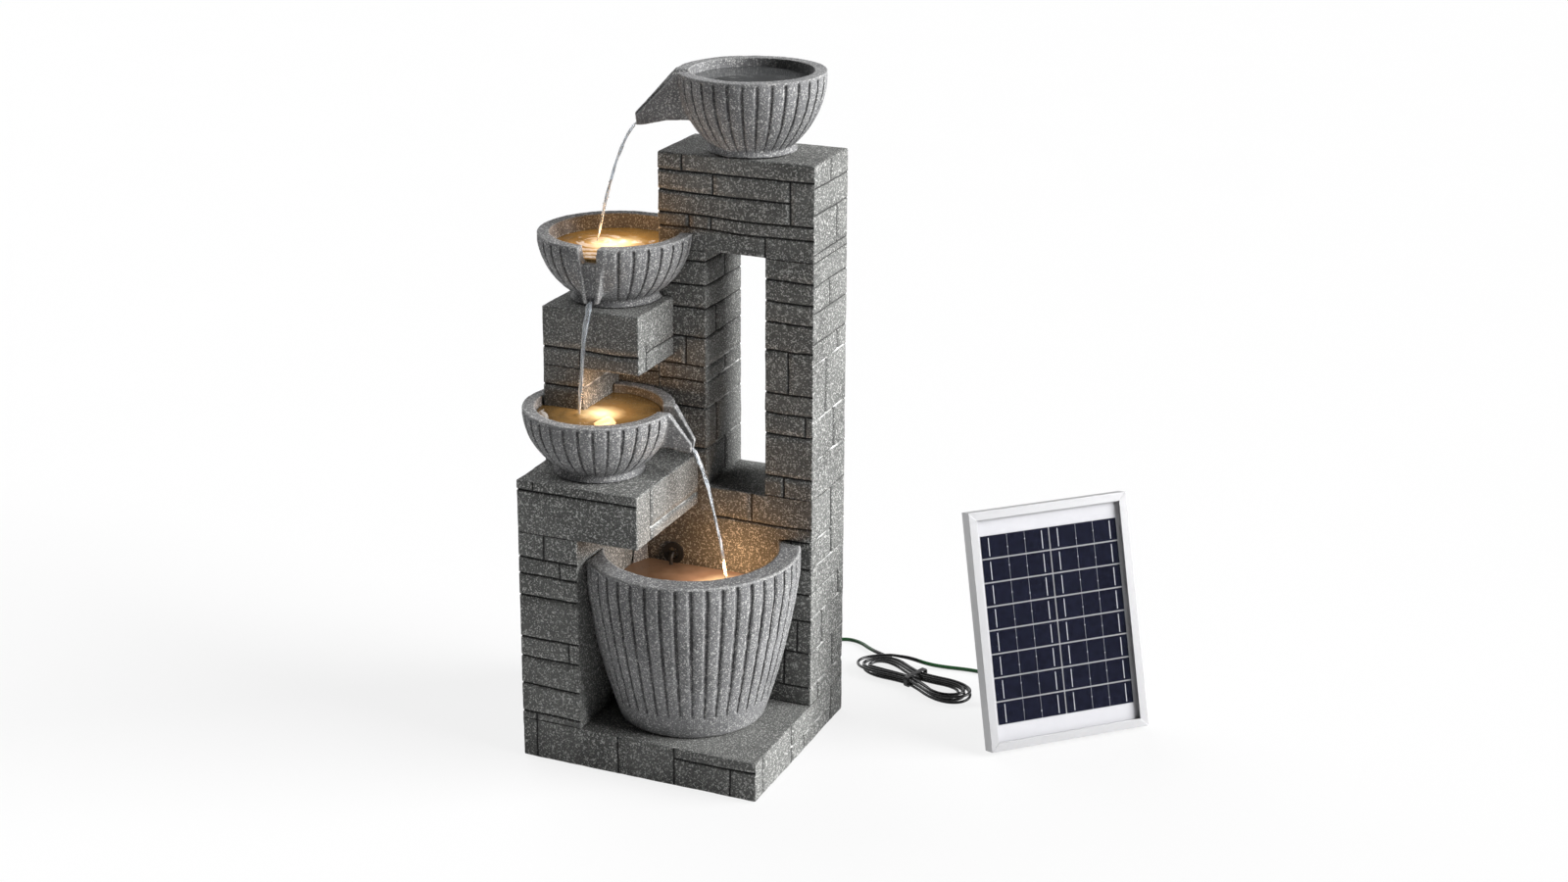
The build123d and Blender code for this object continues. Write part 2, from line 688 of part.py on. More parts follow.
# Pump rotor: magnet, impeller with six vanes, and a shaft between the well's end and the inlet cover
magnet_radius = rotor_radius - 3
vane_length = 8
magnet_length = 18
rotor_front = pump_y[0] + 3
with BuildPart() as pump_rotor:
    with BuildSketch(Plane(origin=(pump_middle, rotor_front + vane_length, rotor_axis_z), z_dir=(0, 1, 0))):
        Circle(magnet_radius)
    extrude(amount=magnet_length)
    with BuildSketch(Plane(origin=(pump_middle, rotor_front, rotor_axis_z), z_dir=(0, 1, 0))):
        Circle(3)
        with PolarLocations(rotor_radius / 2, 6):
            Rectangle(rotor_radius - 0.5, 1.6)
    extrude(amount=vane_length)
    with BuildSketch(Plane(origin=(pump_middle, pump_y[0] - shaft_nose, rotor_axis_z), z_dir=(0, 1, 0))):
        Circle(shaft_radius)
    extrude(amount=shaft_nose + well_depth + 6)
write(pump_rotor, "pump_rotor")

# Pump inlet cover: a slotted cap that slides off the front, with the rotor's front bearing
cover_thickness = 9
cover_y = (pump_y[0] - cover_thickness, pump_y[0] - bond_gap)
with BuildPart() as pump_inlet_cover:
    block(inset(pump_x, 1), cover_y, inset(pump_z, 1))
    fillet(pump_inlet_cover.edges().filter_by(Axis.Z), 3)
    block(inset(pump_x, 1 + pump_wall), (cover_y[0] + pump_wall, cover_y[1] + 1), inset(pump_z, 1 + pump_wall),
          Mode.SUBTRACT)
    with Locations((pump_middle, (cover_y[0] + cover_y[1]) / 2, rotor_axis_z)):
        Cylinder(shaft_radius + 2.5, cover_y[1] - cover_y[0], rotation=(90, 0, 0))
    with Locations((pump_middle, cover_y[1], rotor_axis_z)):
        Cylinder(shaft_radius + running_gap, 8, rotation=(90, 0, 0), mode=Mode.SUBTRACT)
    with Locations((pump_middle, cover_y[0], rotor_axis_z - 13)):
        with GridLocations(4.4, 1, 6, 1):
            Box(2, 3 * pump_wall, 8, mode=Mode.SUBTRACT)
    with Locations((pump_middle, cover_y[0], pump_z[1] - 11)):
        Cylinder(shaft_radius + running_gap, 3 * pump_wall, rotation=(90, 0, 0), mode=Mode.SUBTRACT)
write(pump_inlet_cover, "pump_inlet_cover")

# Flow dial: turns on the inlet cover's face
with BuildPart() as flow_dial:
    dial_plane = Plane(origin=(pump_middle, cover_y[0] - bond_gap, pump_z[1] - 11), z_dir=(0, -1, 0))
    with BuildSketch(dial_plane):
        Circle(dial_radius)
    extrude(amount=3)
    with BuildSketch(dial_plane):
        Circle(shaft_radius)
    extrude(amount=-(pump_wall + 1))
    with Locations((pump_middle, cover_y[0] - bond_gap - 3, pump_z[1] - 11)):
        Box(1.6, 3, 2 * dial_radius, mode=Mode.SUBTRACT)
write(flow_dial, "flow_dial")

# Suction feet under the pump
with BuildPart() as pump_feet:
    with Locations((pump_middle, pump_outlet[1], plinth_top + pot_floor + pump_foot_height / 2)):
        with GridLocations(pump_width - 14, pump_length - 16, 2, 2):
            Cone(pump_foot_radius, pump_foot_radius - 2, pump_foot_height)
write(pump_feet, "pump_feet")


def tube(points, radius, bend, bore=0):
    """A round tube along straight runs joined by arcs of one radius."""
    with BuildPart() as run:
        with BuildLine() as route:
            FilletPolyline(*points, radius=bend)
        start = Plane(origin=route.line @ 0, z_dir=route.line % 0)
        with BuildSketch(start):
            Circle(radius)
            if bore:
                Circle(bore, mode=Mode.SUBTRACT)
        sweep(path=route.line)
    return run


# Riser hose: from the pump, into the rear wall and up the left pillar to the top bowl
nozzle_foot = tower_top - casting_wall - 14
riser_turn = window_head + 40
riser_hose = tube(
    (
        (*pump_outlet, pump_z[1] + bond_gap),
        (*pump_outlet, riser_level),
        (left_pillar_middle, wall_middle, riser_level),
        (left_pillar_middle, wall_middle, riser_turn),
        (*top_axis, riser_turn),
        (*top_axis, nozzle_foot + 12),
    ),
    hose_radius, hose_bend, hose_bore_radius,
)
write(riser_hose, "riser_hose")

# Outlet nozzle: a flanged spigot through the top bowl's floor into the hose
with BuildPart() as outlet_nozzle:
    nozzle_top = tower_top + bowl_floor
    with BuildSketch(Plane.XY.offset(nozzle_top + bond_gap)):
        with Locations(top_axis):
            Circle(nozzle_radius + 6)
    extrude(amount=3)
    with BuildSketch(Plane.XY.offset(nozzle_top + bond_gap)):
        with Locations(top_axis):
            Circle(nozzle_radius)
    extrude(amount=-(nozzle_top - nozzle_foot - 13))
    with BuildSketch(Plane.XY.offset(nozzle_top)):
        with Locations(top_axis):
            Circle(outlet_radius)
    extrude(amount=-(nozzle_top - nozzle_foot))
    with BuildSketch(Plane.XY.offset(nozzle_top + 4)):
        with Locations(top_axis):
            Circle(outlet_radius - 1.4)
    extrude(amount=-far, mode=Mode.SUBTRACT)
write(outlet_nozzle, "outlet_nozzle")


def make_light(place, seat):
    """A light puck and its domed lens, on a floor at the given height."""
    with BuildPart() as housing:
        with BuildSketch(Plane.XY.offset(seat)):
            with Locations(place):
                Circle(light_radius)
        extrude(amount=light_height)
        chamfer(housing.edges().sort_by(Axis.Z)[-1], 1.5)
        with Locations((*place, seat + light_height)):
            Cylinder(lens_radius + slip_gap, 2 * lens_height, mode=Mode.SUBTRACT)
        with Locations((*place, seat)):
            Cylinder(lead_radius + running_gap, 2 * (light_height - lens_height - 1), mode=Mode.SUBTRACT)
    with BuildPart() as lens:
        with BuildSketch(Plane(origin=(*place, seat + light_height - lens_height), x_dir=(1, 0, 0),
                               z_dir=(0, -1, 0))):
            with BuildLine():
                Polyline((0, lens_height + lens_dome), (0, 0), (lens_radius, 0), (lens_radius, lens_height))
                TangentArc((0, lens_height + lens_dome), (lens_radius, lens_height), tangent=(1, 0))
            make_face()
        revolve(axis=Axis((*place, 0), (0, 0, 1)))
    return housing, lens


light_seats = {
    "second": (second_axis, upper_ledge_top + bowl_floor),
    "third": (third_axis, lower_ledge_top + bowl_floor),
    "basin": (pot_light, plinth_top + pot_floor),
}
for light_name, (light_place, light_seat) in light_seats.items():
    light_housing, light_lens = make_light(light_place, light_seat)
    write(light_housing, f"{light_name}_light_housing")
    write(light_lens, f"{light_name}_light_lens")

# Lead junction in the rear wall, beside the cord's gland
junction_middle = (cord_exit[0], back - casting_wall - junction_size / 2)
junction_y = (back - casting_wall - junction_size, back - casting_wall - 12)
junction_x = (cord_exit[0] - junction_size / 2, cord_exit[0] + junction_size / 2)
junction_z = (plinth_top + casting_wall, plinth_top + casting_wall + junction_size)
with BuildPart() as lead_junction:
    block(junction_x, junction_y, junction_z)
    fillet(lead_junction.edges().filter_by(Axis.Z), 4)
write(lead_junction, "lead_junction")

# Light leads and the pump lead, each from its piece to the junction
lead_gather = junction_z[1] - 8
lead_drop = lead_duct_height
second_lead = tube(
    (
        (*second_axis, upper_ledge_top + bowl_floor),
        (*second_axis, upper_ledge_top - 2 * casting_wall - 6),
        (lead_duct_x[1], second_axis[1], upper_ledge_top - 2 * casting_wall - 6),
        (lead_duct_x[1], second_axis[1], lead_drop),
        (lead_duct_x[1], wall_middle - 10, lead_drop),
        (lead_duct_x[1], wall_middle - 10, lead_gather),
        (junction_x[0], wall_middle - 10, lead_gather),
    ),
    lead_radius, lead_bend,
)
write(second_lead, "second_light_lead")
third_lead = tube(
    (
        (*third_axis, lower_ledge_top + bowl_floor),
        (*third_axis, lower_ledge_top - 2 * casting_wall - 6),
        (lead_duct_x[0], third_axis[1], lower_ledge_top - 2 * casting_wall - 6),
        (lead_duct_x[0], third_axis[1], lead_drop),
        (lead_duct_x[0], wall_middle + 4, lead_drop),
        (lead_duct_x[0], wall_middle + 4, lead_gather - 8),
        (junction_x[0], wall_middle + 4, lead_gather - 8),
    ),
    lead_radius, lead_bend,
)
write(third_lead, "third_light_lead")
basin_lead_level = plinth_top - 2 * casting_wall
basin_lead = tube(
    (
        (*pot_light, plinth_top + pot_floor),
        (*pot_light, basin_lead_level),
        (pot_light[0], wall_middle, basin_lead_level),
        (pot_light[0], wall_middle, junction_z[0]),
    ),
    lead_radius, lead_bend,
)
write(basin_lead, "basin_light_lead")
pump_lead_x = grommet_place[0]
pump_lead = tube(
    (
        (pump_lead_x, pump_y[1], pump_floor + pump_height / 2),
        (pump_lead_x, pump_y[1] + 8, pump_floor + pump_height / 2),
        (pump_lead_x, pump_y[1] + 8, grommet_place[1]),
        (pump_lead_x, wall_front + casting_wall + 18, grommet_place[1]),
        (pump_lead_x, wall_front + casting_wall + 18, junction_z[0] + 16),
        (junction_x[0], wall_front + casting_wall + 18, junction_z[0] + 16),
    ),
    pump_lead_radius, lead_bend - 4,
)
write(pump_lead, "pump_lead")

# Cord gland on the rear wall: a nut with a tapered nose, and a stem to the junction
with BuildPart() as tower_gland:
    gland_plane = Plane(origin=(cord_exit[0], back, cord_exit[1]), z_dir=(0, 1, 0))
    with BuildSketch(gland_plane):
        RegularPolygon(gland_nut_radius, 6)
    extrude(amount=6)
    with BuildSketch(gland_plane.offset(6)) as nose_root:
        Circle(gland_radius)
    with BuildSketch(gland_plane.offset(gland_length)) as nose_tip:
        Circle(cord_radius + 1.6)
    loft()
    with BuildSketch(gland_plane):
        Circle(gland_radius - bond_gap)
    extrude(amount=-(casting_wall + 12))
write(tower_gland, "tower_gland")

# Panel frame of reference: x runs along the bottom edge, y up the face, z out of the glass
heading = math.radians(panel_heading)
lean = math.radians(panel_lean)
panel_along = Vector(math.cos(heading), math.sin(heading), 0)
panel_face = Vector(
    math.sin(heading) * math.cos(lean), -math.cos(heading) * math.cos(lean), math.sin(lean)
)
panel_corner = Vector(324, 75, panel_depth * math.sin(lean))
panel_plane = Plane(origin=panel_corner, x_dir=panel_along, z_dir=panel_face)
panel_up = panel_plane.y_dir


def on_panel(x, y, z):
    """A point of the panel's own frame, in the part's frame."""
    return panel_plane.from_local_coords(Vector(x, y, z))


def panel_block(x_span, y_span, z_span, mode=Mode.ADD):
    """Add or cut a box that stands square to the panel."""
    middle = on_panel(sum(x_span) / 2, sum(y_span) / 2, z_span[0])
    with BuildSketch(Plane(origin=middle, x_dir=panel_along, z_dir=panel_face)) as outline:
        Rectangle(x_span[1] - x_span[0], y_span[1] - y_span[0])
    extrude(outline.sketch, amount=z_span[1] - z_span[0], mode=mode)


# Panel frame: four mitred channel sections, each with a lip, a shelf for the glass and a back flange
laminate = glass_thickness + cell_thickness + sheet_thickness
frame_members = {
    "panel_frame_bottom": ((0, 0), panel_up, panel_along, panel_width),
    "panel_frame_right": ((panel_width, 0), -panel_along, panel_up, panel_height),
    "panel_frame_top": ((panel_width, panel_height), -panel_up, -panel_along, panel_width),
    "panel_frame_left": ((0, panel_height), panel_along, -panel_up, panel_height),
}
for member_name, (corner, inward, along, length) in frame_members.items():
    member_corner = on_panel(*corner, 0)
    with BuildPart() as member:
        with BuildSketch(Plane(origin=member_corner, x_dir=inward, z_dir=along)):
            toward_back = (Align.MIN, Align.MAX)
            Rectangle(frame_wall, panel_depth, align=toward_back)
            Rectangle(frame_lip, frame_wall, align=toward_back)
            with Locations((0, -frame_wall - laminate)):
                Rectangle(frame_shelf, frame_wall, align=toward_back)
            with Locations((0, frame_wall - panel_depth)):
                Rectangle(frame_flange, frame_wall, align=toward_back)
        extrude(amount=length)
        with BuildSketch(Plane(origin=member_corner, x_dir=along, z_dir=panel_face)):
            with BuildLine():
                Polyline((0, 0), (length, 0), (length - frame_flange, frame_flange),
                         (frame_flange, frame_flange), close=True)
            make_face()
        extrude(amount=-panel_depth, mode=Mode.INTERSECT)
    write(member, member_name)

# Laminate: glass, cells and back sheet, seated between the frame's lip and shelf
laminate_x = inset((0, panel_width), frame_wall + slip_gap)
laminate_y = inset((0, panel_height), frame_wall + slip_gap)
glass_back = -frame_wall - glass_thickness
cell_back = glass_back - cell_thickness
sheet_back = cell_back - sheet_thickness
with BuildPart() as panel_glass:
    panel_block(laminate_x, laminate_y, (glass_back, -frame_wall))
write(panel_glass, "panel_glass")
with BuildPart() as panel_backsheet:
    panel_block(laminate_x, laminate_y, (sheet_back, cell_back))
write(panel_backsheet, "panel_backsheet")
cell_width = (panel_width - 2 * (frame_lip + cell_side_margin) - (cell_columns - 1) * cell_gap) / cell_columns
cell_height = (panel_height - 2 * (frame_lip + cell_end_margin) - (cell_rows - 1) * cell_gap) / cell_rows
with BuildPart() as solar_cells:
    with BuildSketch(Plane(origin=on_panel(panel_width / 2, panel_height / 2, cell_back),
                           x_dir=panel_along, z_dir=panel_face)):
        with GridLocations(cell_width + cell_gap, cell_height + cell_gap, cell_columns, cell_rows):
            Rectangle(cell_width, cell_height)
    extrude(amount=cell_thickness)
write(solar_cells, "solar_cells")

# Control box on the back sheet: a tray, a lid with the push button, a circuit board and two batteries
box_x = (panel_width / 2 - box_width / 2, panel_width / 2 + box_width / 2)
box_y = (box_bottom, box_bottom + box_height)
box_z = (sheet_back - box_depth, sheet_back)
tray_floor = sheet_back - box_wall
lid_z = (box_z[0] - lid_thickness, box_z[0])
board_z = (tray_floor - 5.6, tray_floor - 4)
board_x = (box_x[1] - box_wall - 21, box_x[1] - box_wall - 1)
board_y = (box_y[0] + 12, box_y[1] - 12)
board_middle = sum(board_x) / 2
button_y = sum(box_y) / 2
gland_place = (panel_width / 2, sheet_back - box_depth / 2)
panel_gland_radius = 5
with BuildPart() as control_box:
    panel_block(box_x, box_y, box_z)
    panel_block(inset(box_x, box_wall), inset(box_y, box_wall), (box_z[0] - 1, tray_floor), Mode.SUBTRACT)
    for post_y in (board_y[0] + 4, board_y[1] - 4):
        panel_block((board_middle - 2, board_middle + 2), (post_y - 2, post_y + 2), (board_z[1], tray_floor))
    gland_hole = Plane(origin=on_panel(gland_place[0], box_y[0], gland_place[1]), x_dir=panel_along,
                       z_dir=-panel_up)
    with BuildSketch(gland_hole):
        Circle(panel_gland_radius)
    extrude(amount=-2 * box_wall, mode=Mode.SUBTRACT)
write(control_box, "control_box")

button_plane = Plane(origin=on_panel(board_middle, button_y, lid_z[1]), x_dir=panel_along, z_dir=-panel_face)
with BuildPart() as control_box_lid:
    panel_block(box_x, box_y, lid_z)
    with BuildSketch(button_plane):
        Circle(button_radius + slip_gap)
    extrude(amount=lid_thickness, mode=Mode.SUBTRACT)
write(control_box_lid, "control_box_lid")

with BuildPart() as circuit_board:
    panel_block(board_x, board_y, board_z)
    chip_y = sum(board_y) / 2
    panel_block((board_middle - 5, board_middle + 5), (chip_y + 9, chip_y + 19), (board_z[0] - 2, board_z[0]))
    panel_block((board_middle - 4, board_middle + 4), (chip_y - 4, chip_y + 4), (board_z[0] - 3, board_z[0]))
write(circuit_board, "circuit_board")

# The button's cap passes through the lid, and its flange sits under the lid above the board's switch
button_flange = 1.4
switch_face = board_z[0] - 3
with BuildPart() as power_button:
    with BuildSketch(button_plane):
        Circle(button_radius)
    extrude(amount=lid_thickness + button_proud)
    with BuildSketch(button_plane.offset(-bond_gap)):
        Circle(button_radius + 2)
    extrude(amount=-button_flange)
    with BuildSketch(button_plane.offset(-bond_gap)):
        Circle(button_radius)
    extrude(amount=bond_gap)
    stem_length = switch_face - box_z[0] - bond_gap - button_travel - slip_gap
    with BuildSketch(button_plane.offset(-bond_gap)):
        Circle(2)
    extrude(amount=-stem_length)
    fillet(power_button.faces().sort_by(Axis(button_plane.origin, -panel_face))[-1].edges(), 1)
write(power_button, "power_button")

battery_z = tray_floor - battery_radius - bond_gap
battery_start = box_y[0] + box_wall + (box_height - 2 * box_wall - battery_length) / 2
with BuildPart() as batteries:
    for cell in range(2):
        cell_x = box_x[0] + box_wall + bond_gap + battery_radius * (2 * cell + 1) + slip_gap * cell
        with BuildSketch(Plane(origin=on_panel(cell_x, battery_start, battery_z), z_dir=panel_up)):
            Circle(battery_radius)
        extrude(amount=battery_length)
        with BuildSketch(Plane(origin=on_panel(cell_x, battery_start + battery_length, battery_z), z_dir=panel_up)):
            Circle(battery_radius / 3)
        extrude(amount=1.2)
write(batteries, "batteries")

# Cord gland under the control box
panel_gland_length = 14
with BuildPart() as panel_gland:
    with BuildSketch(gland_hole):
        RegularPolygon(panel_gland_radius + 2.5, 6)
    extrude(amount=5)
    with BuildSketch(gland_hole.offset(5)):
        Circle(panel_gland_radius)
    with BuildSketch(gland_hole.offset(panel_gland_length)):
        Circle(cord_radius + 1.2)
    loft()
    with BuildSketch(gland_hole):
        Circle(panel_gland_radius - bond_gap)
    extrude(amount=-(box_wall + 3))
write(panel_gland, "panel_gland")

# Stand: a rail across the frame's back, two clips, and a rod leg that turns in them
rail_z = (-panel_depth - rail_thickness, -panel_depth)
pivot_z = rail_z[0] - clip_wall - rod_radius
rail_y = (stand_height - rail_height / 2, stand_height + rail_height / 2)
with BuildPart() as stand_rail:
    panel_block(inset((0, panel_width), frame_wall), rail_y, rail_z)
write(stand_rail, "stand_rail")

leg_bend = 10
clip_spread = stand_spread - 2 * leg_bend - 2 * clip_width
with BuildPart() as hinge_clips:
    clip_half = rod_radius + clip_wall
    for clip_side in (-0.5, 0.5):
        clip_middle = panel_width / 2 + clip_side * clip_spread
        panel_block((clip_middle - clip_width / 2, clip_middle + clip_width / 2),
                    (stand_height - clip_half, stand_height + clip_half), (pivot_z - clip_half, rail_z[0]))
    with BuildSketch(Plane(origin=on_panel(0, stand_height, pivot_z), z_dir=panel_along)):
        Circle(rod_radius + running_gap)
    extrude(amount=panel_width, mode=Mode.SUBTRACT)
write(hinge_clips, "hinge_clips")

# The leg leaves the panel's plane by the opening angle, and its ends stop at the ground
opening = math.radians(stand_opening)
leg_down = -panel_up * math.cos(opening) - panel_face * math.sin(opening)
pivot = on_panel(panel_width / 2, stand_height, pivot_z)
tip_radius = rod_radius + running_gap + tip_wall
ground_reach = pivot.Z / -leg_down.Z
leg_reach = ground_reach - tip_wall - 1.2
half_spread = panel_along * (stand_spread / 2)
with BuildPart() as stand_leg:
    with BuildLine() as leg_route:
        FilletPolyline(
            pivot - half_spread + leg_down * leg_reach,
            pivot - half_spread,
            pivot + half_spread,
            pivot + half_spread + leg_down * leg_reach,
            radius=leg_bend,
        )
    with BuildSketch(Plane(origin=leg_route.line @ 0, z_dir=leg_route.line % 0)):
        Circle(rod_radius)
    sweep(path=leg_route.line)
write(stand_leg, "stand_leg")

with BuildPart() as leg_tips:
    for tip_side in (-1, 1):
        tip_top = pivot + half_spread * tip_side + leg_down * (ground_reach + tip_wall - tip_length)
        with BuildSketch(Plane(origin=tip_top, z_dir=leg_down)):
            Circle(tip_radius)
        extrude(amount=tip_length)
        with BuildSketch(Plane(origin=tip_top, z_dir=leg_down)):
            Circle(rod_radius + running_gap)
        extrude(amount=leg_reach - ground_reach - tip_wall + tip_length, mode=Mode.SUBTRACT)
    block((-2 * far, 2 * far), (-2 * far, 2 * far), (-far, 0), Mode.SUBTRACT)
write(leg_tips, "leg_tips")

# Hank: one tube that spirals in on the lower layer, climbs on a run and spirals out on the upper one
hank_middle = Vector(186, 214, 0)
hank_turn = math.radians(hank_heading)
hank_along = Vector(math.cos(hank_turn), math.sin(hank_turn), 0)
hank_across = Vector(-math.sin(hank_turn), math.cos(hank_turn), 0)
lower_layer = tie_thickness + bond_gap + cord_radius
upper_layer = lower_layer + 2 * cord_radius + cord_gap
lobe_place = hank_length / 2 - hank_half_width


def on_hank(along, across, layer):
    """A point of the hank's own frame, in the part's frame."""
    return hank_middle + hank_along * along + hank_across * across + Vector(0, 0, layer)


def hank_run(begin, finish, side, way, layer_begin, layer_finish):
    """One run from lobe to lobe, drawn in at the waist: four arcs, each tangent to the last.

    Begin and finish are how far out it leaves and meets the lobes."""
    layer_waist = (layer_begin + layer_finish) / 2
    waist = on_hank(0, side * ((begin + finish) / 2 - hank_draw), layer_waist)
    first = on_hank(-way * lobe_place, side * begin, layer_begin)
    last = on_hank(way * lobe_place, side * finish, layer_finish)
    for point, goal in ((first, waist), (waist, last)):
        inflection = (point + goal) * 0.5
        entry = TangentArc(point, inflection, tangent=hank_along * way)
        TangentArc(inflection, goal, tangent=entry % 1)


def hank_lobe(begin, finish, way, layer):
    """One half turn at an end of the hank, from one run to the next."""
    TangentArc(
        on_hank(way * lobe_place, way * begin, layer),
        on_hank(way * lobe_place, -way * finish, layer),
        tangent=hank_along * way,
    )


tail_turn = 23
last_half_width = hank_half_width - hank_step / 4
with BuildPart() as cord_hank:
    with BuildLine() as hank_route:
        reach = hank_half_width
        hank_start = on_hank(-lobe_place - 2 * cord_radius, reach, lower_layer)
        Line(hank_start, on_hank(-lobe_place, reach, lower_layer))
        for loop in range(hank_loops):
            inmost = loop == hank_loops - 1
            hank_run(reach, reach, 1, 1, lower_layer, lower_layer)
            hank_lobe(reach, reach - hank_step / 2, 1, lower_layer)
            reach -= hank_step / 2
            hank_run(reach, reach, -1, -1, lower_layer, upper_layer if inmost else lower_layer)
            if not inmost:
                hank_lobe(reach, reach - hank_step / 2, -1, lower_layer)
                reach -= hank_step / 2
        for loop in range(hank_loops - 1):
            hank_lobe(reach, reach + hank_step / 2, -1, upper_layer)
            reach += hank_step / 2
            hank_run(reach, reach, 1, 1, upper_layer, upper_layer)
            hank_lobe(reach, reach + hank_step / 2, 1, upper_layer)
            reach += hank_step / 2
            hank_run(reach, reach, -1, -1, upper_layer, upper_layer)
        # the last lobe stops short of its half turn, so the tail leaves past the hank's back
        lobe_angle = math.radians(90 + tail_turn)
        lobe_middle = hank_step / 4
        tail_place = on_hank(
            -lobe_place + (reach + lobe_middle) * math.cos(lobe_angle),
            lobe_middle + (reach + lobe_middle) * math.sin(lobe_angle),
            upper_layer,
        )
        last_lobe = TangentArc(on_hank(-lobe_place, -reach, upper_layer), tail_place, tangent=-hank_along)
        tail_heading = last_lobe % 1
        hank_finish = tail_place + tail_heading * (2 * cord_radius)
        Line(tail_place, hank_finish)
    hank_wire = Wire(hank_route.line.edges())
    with BuildSketch(Plane(origin=hank_start, z_dir=hank_along)):
        RegularPolygon(cord_radius, 8)
    sweep(path=hank_wire)
write(cord_hank, "cord_hank")

hank_samples = [hank_wire @ (step / 900) for step in range(901)]
hank_spacing = hank_wire.length / 900
neighbours = math.ceil(6 * cord_radius / hank_spacing)
least_gap = min(
    (one - other).length
    for place, one in enumerate(hank_samples)
    for other in hank_samples[place + neighbours:]
) - 2 * cord_radius
print(f"hank length {hank_wire.length:.0f}, least gap {least_gap:.2f}")

# Tie round the hank's waist
with BuildPart() as hank_tie:
    tie_plane = Plane(origin=on_hank(-tie_width / 2, 0, 0), x_dir=hank_across, z_dir=hank_along)
    waist_out = hank_half_width - hank_draw + cord_radius + bond_gap
    waist_in = -(hank_half_width - hank_step / 2 - hank_draw + cord_radius + bond_gap)
    waist_top = upper_layer + cord_radius + bond_gap
    with BuildSketch(tie_plane):
        with Locations(((waist_out + waist_in) / 2, (waist_top + tie_thickness) / 2)):
            RectangleRounded(waist_out - waist_in + 2 * tie_thickness, waist_top + tie_thickness, 4)
            RectangleRounded(waist_out - waist_in, waist_top - tie_thickness, 4 - tie_thickness, mode=Mode.SUBTRACT)
    extrude(amount=tie_width)
write(hank_tie, "hank_tie")


def cord_run(label, points):
    """A free stretch of cord: straight runs joined by arcs as large as the runs allow."""
    radii = []
    for before, corner, after in zip(points, points[1:], points[2:]):
        turn = math.radians((corner - before).get_angle(after - corner))
        shorter = min((corner - before).length, (after - corner).length)
        radii.append(0.45 * shorter / math.tan(turn / 2))
    with BuildPart() as run:
        with BuildLine() as route:
            FilletPolyline(*points, radius=radii)
        with BuildSketch(Plane(origin=route.line @ 0, z_dir=route.line % 0)):
            Circle(cord_radius)
        sweep(path=route.line)
    length = Wire(route.line.edges()).length
    share = run.part.volume / (math.pi * cord_radius**2 * length)
    print(f"{label}: length {length:.0f}, volume share {share:.3f}, radii", [round(r) for r in radii])
    return run


# The tower's stretch leaves the gland, drops to the ground and comes round to the hank
cord_lie = cord_radius + 0.1
tower_cord_start = Vector(cord_exit[0], back + gland_length, cord_exit[1])
tower_cord = cord_run("tower cord", [
    tower_cord_start,
    tower_cord_start + Vector(0, 15, 0),
    Vector(50.5, 169, 63),
    Vector(51.5, 188, 47),
    Vector(52, 206, 27),
    Vector(52, 224, 11),
    Vector(51, 243, cord_lie + 1),
    Vector(53, 263, cord_lie),
    Vector(60, 281, cord_lie),
    Vector(75, 291, cord_lie),
    Vector(93, 287, cord_lie + 0.2),
    Vector(110, 273, cord_lie + 0.6),
    hank_start - hank_along * 18,
    hank_start,
])
write(tower_cord, "cord_tower_run")

# The panel's stretch leaves the hank, passes between the leg's tips and rises to the control box
panel_cord_end = on_panel(gland_place[0], box_y[0] - panel_gland_length, gland_place[1])
panel_cord = cord_run("panel cord", [
    hank_finish,
    hank_finish + tail_heading * 18,
    Vector(186, 258, 4.5),
    Vector(207, 263, cord_lie),
    Vector(230, 267, cord_lie),
    Vector(254, 267, cord_lie),
    Vector(276, 258, cord_lie),
    Vector(294, 242, cord_lie),
    Vector(311, 224, cord_lie),
    Vector(329, 206, cord_lie),
    Vector(346, 190, 4),
    Vector(359, 177, 12),
    panel_cord_end - panel_up * 22,
    panel_cord_end,
])
write(panel_cord, "cord_panel_run")
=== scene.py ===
import math

import bmesh
import bpy
import numpy as np
from bpy.props import FloatProperty, FloatVectorProperty, IntProperty, PointerProperty
from mathutils import Matrix, Vector, noise


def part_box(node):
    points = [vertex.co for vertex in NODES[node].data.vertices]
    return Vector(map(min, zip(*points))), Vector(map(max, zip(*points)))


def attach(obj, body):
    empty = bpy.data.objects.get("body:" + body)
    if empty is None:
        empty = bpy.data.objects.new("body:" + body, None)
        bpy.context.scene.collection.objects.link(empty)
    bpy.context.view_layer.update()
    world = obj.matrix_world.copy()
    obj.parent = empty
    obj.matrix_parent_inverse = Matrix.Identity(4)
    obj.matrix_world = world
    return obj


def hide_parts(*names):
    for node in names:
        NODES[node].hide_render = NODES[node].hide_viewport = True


bl_info = {
    "name": "Solar Cascading Fountain",
    "version": (1, 0, 0),
    "blender": (4, 5, 0),
    "location": "3D View > Sidebar > Fountain",
    "description": "Builds the looks of a cascading stone fountain with its solar panel",
    "category": "Object",
}

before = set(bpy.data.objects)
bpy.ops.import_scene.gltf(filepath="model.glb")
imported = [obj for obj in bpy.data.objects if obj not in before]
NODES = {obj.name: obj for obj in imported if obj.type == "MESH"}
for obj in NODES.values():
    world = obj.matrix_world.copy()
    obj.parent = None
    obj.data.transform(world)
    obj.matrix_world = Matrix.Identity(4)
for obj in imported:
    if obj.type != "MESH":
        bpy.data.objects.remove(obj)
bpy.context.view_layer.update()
MM = 0.001
ROOT = "fountain"


# Settings


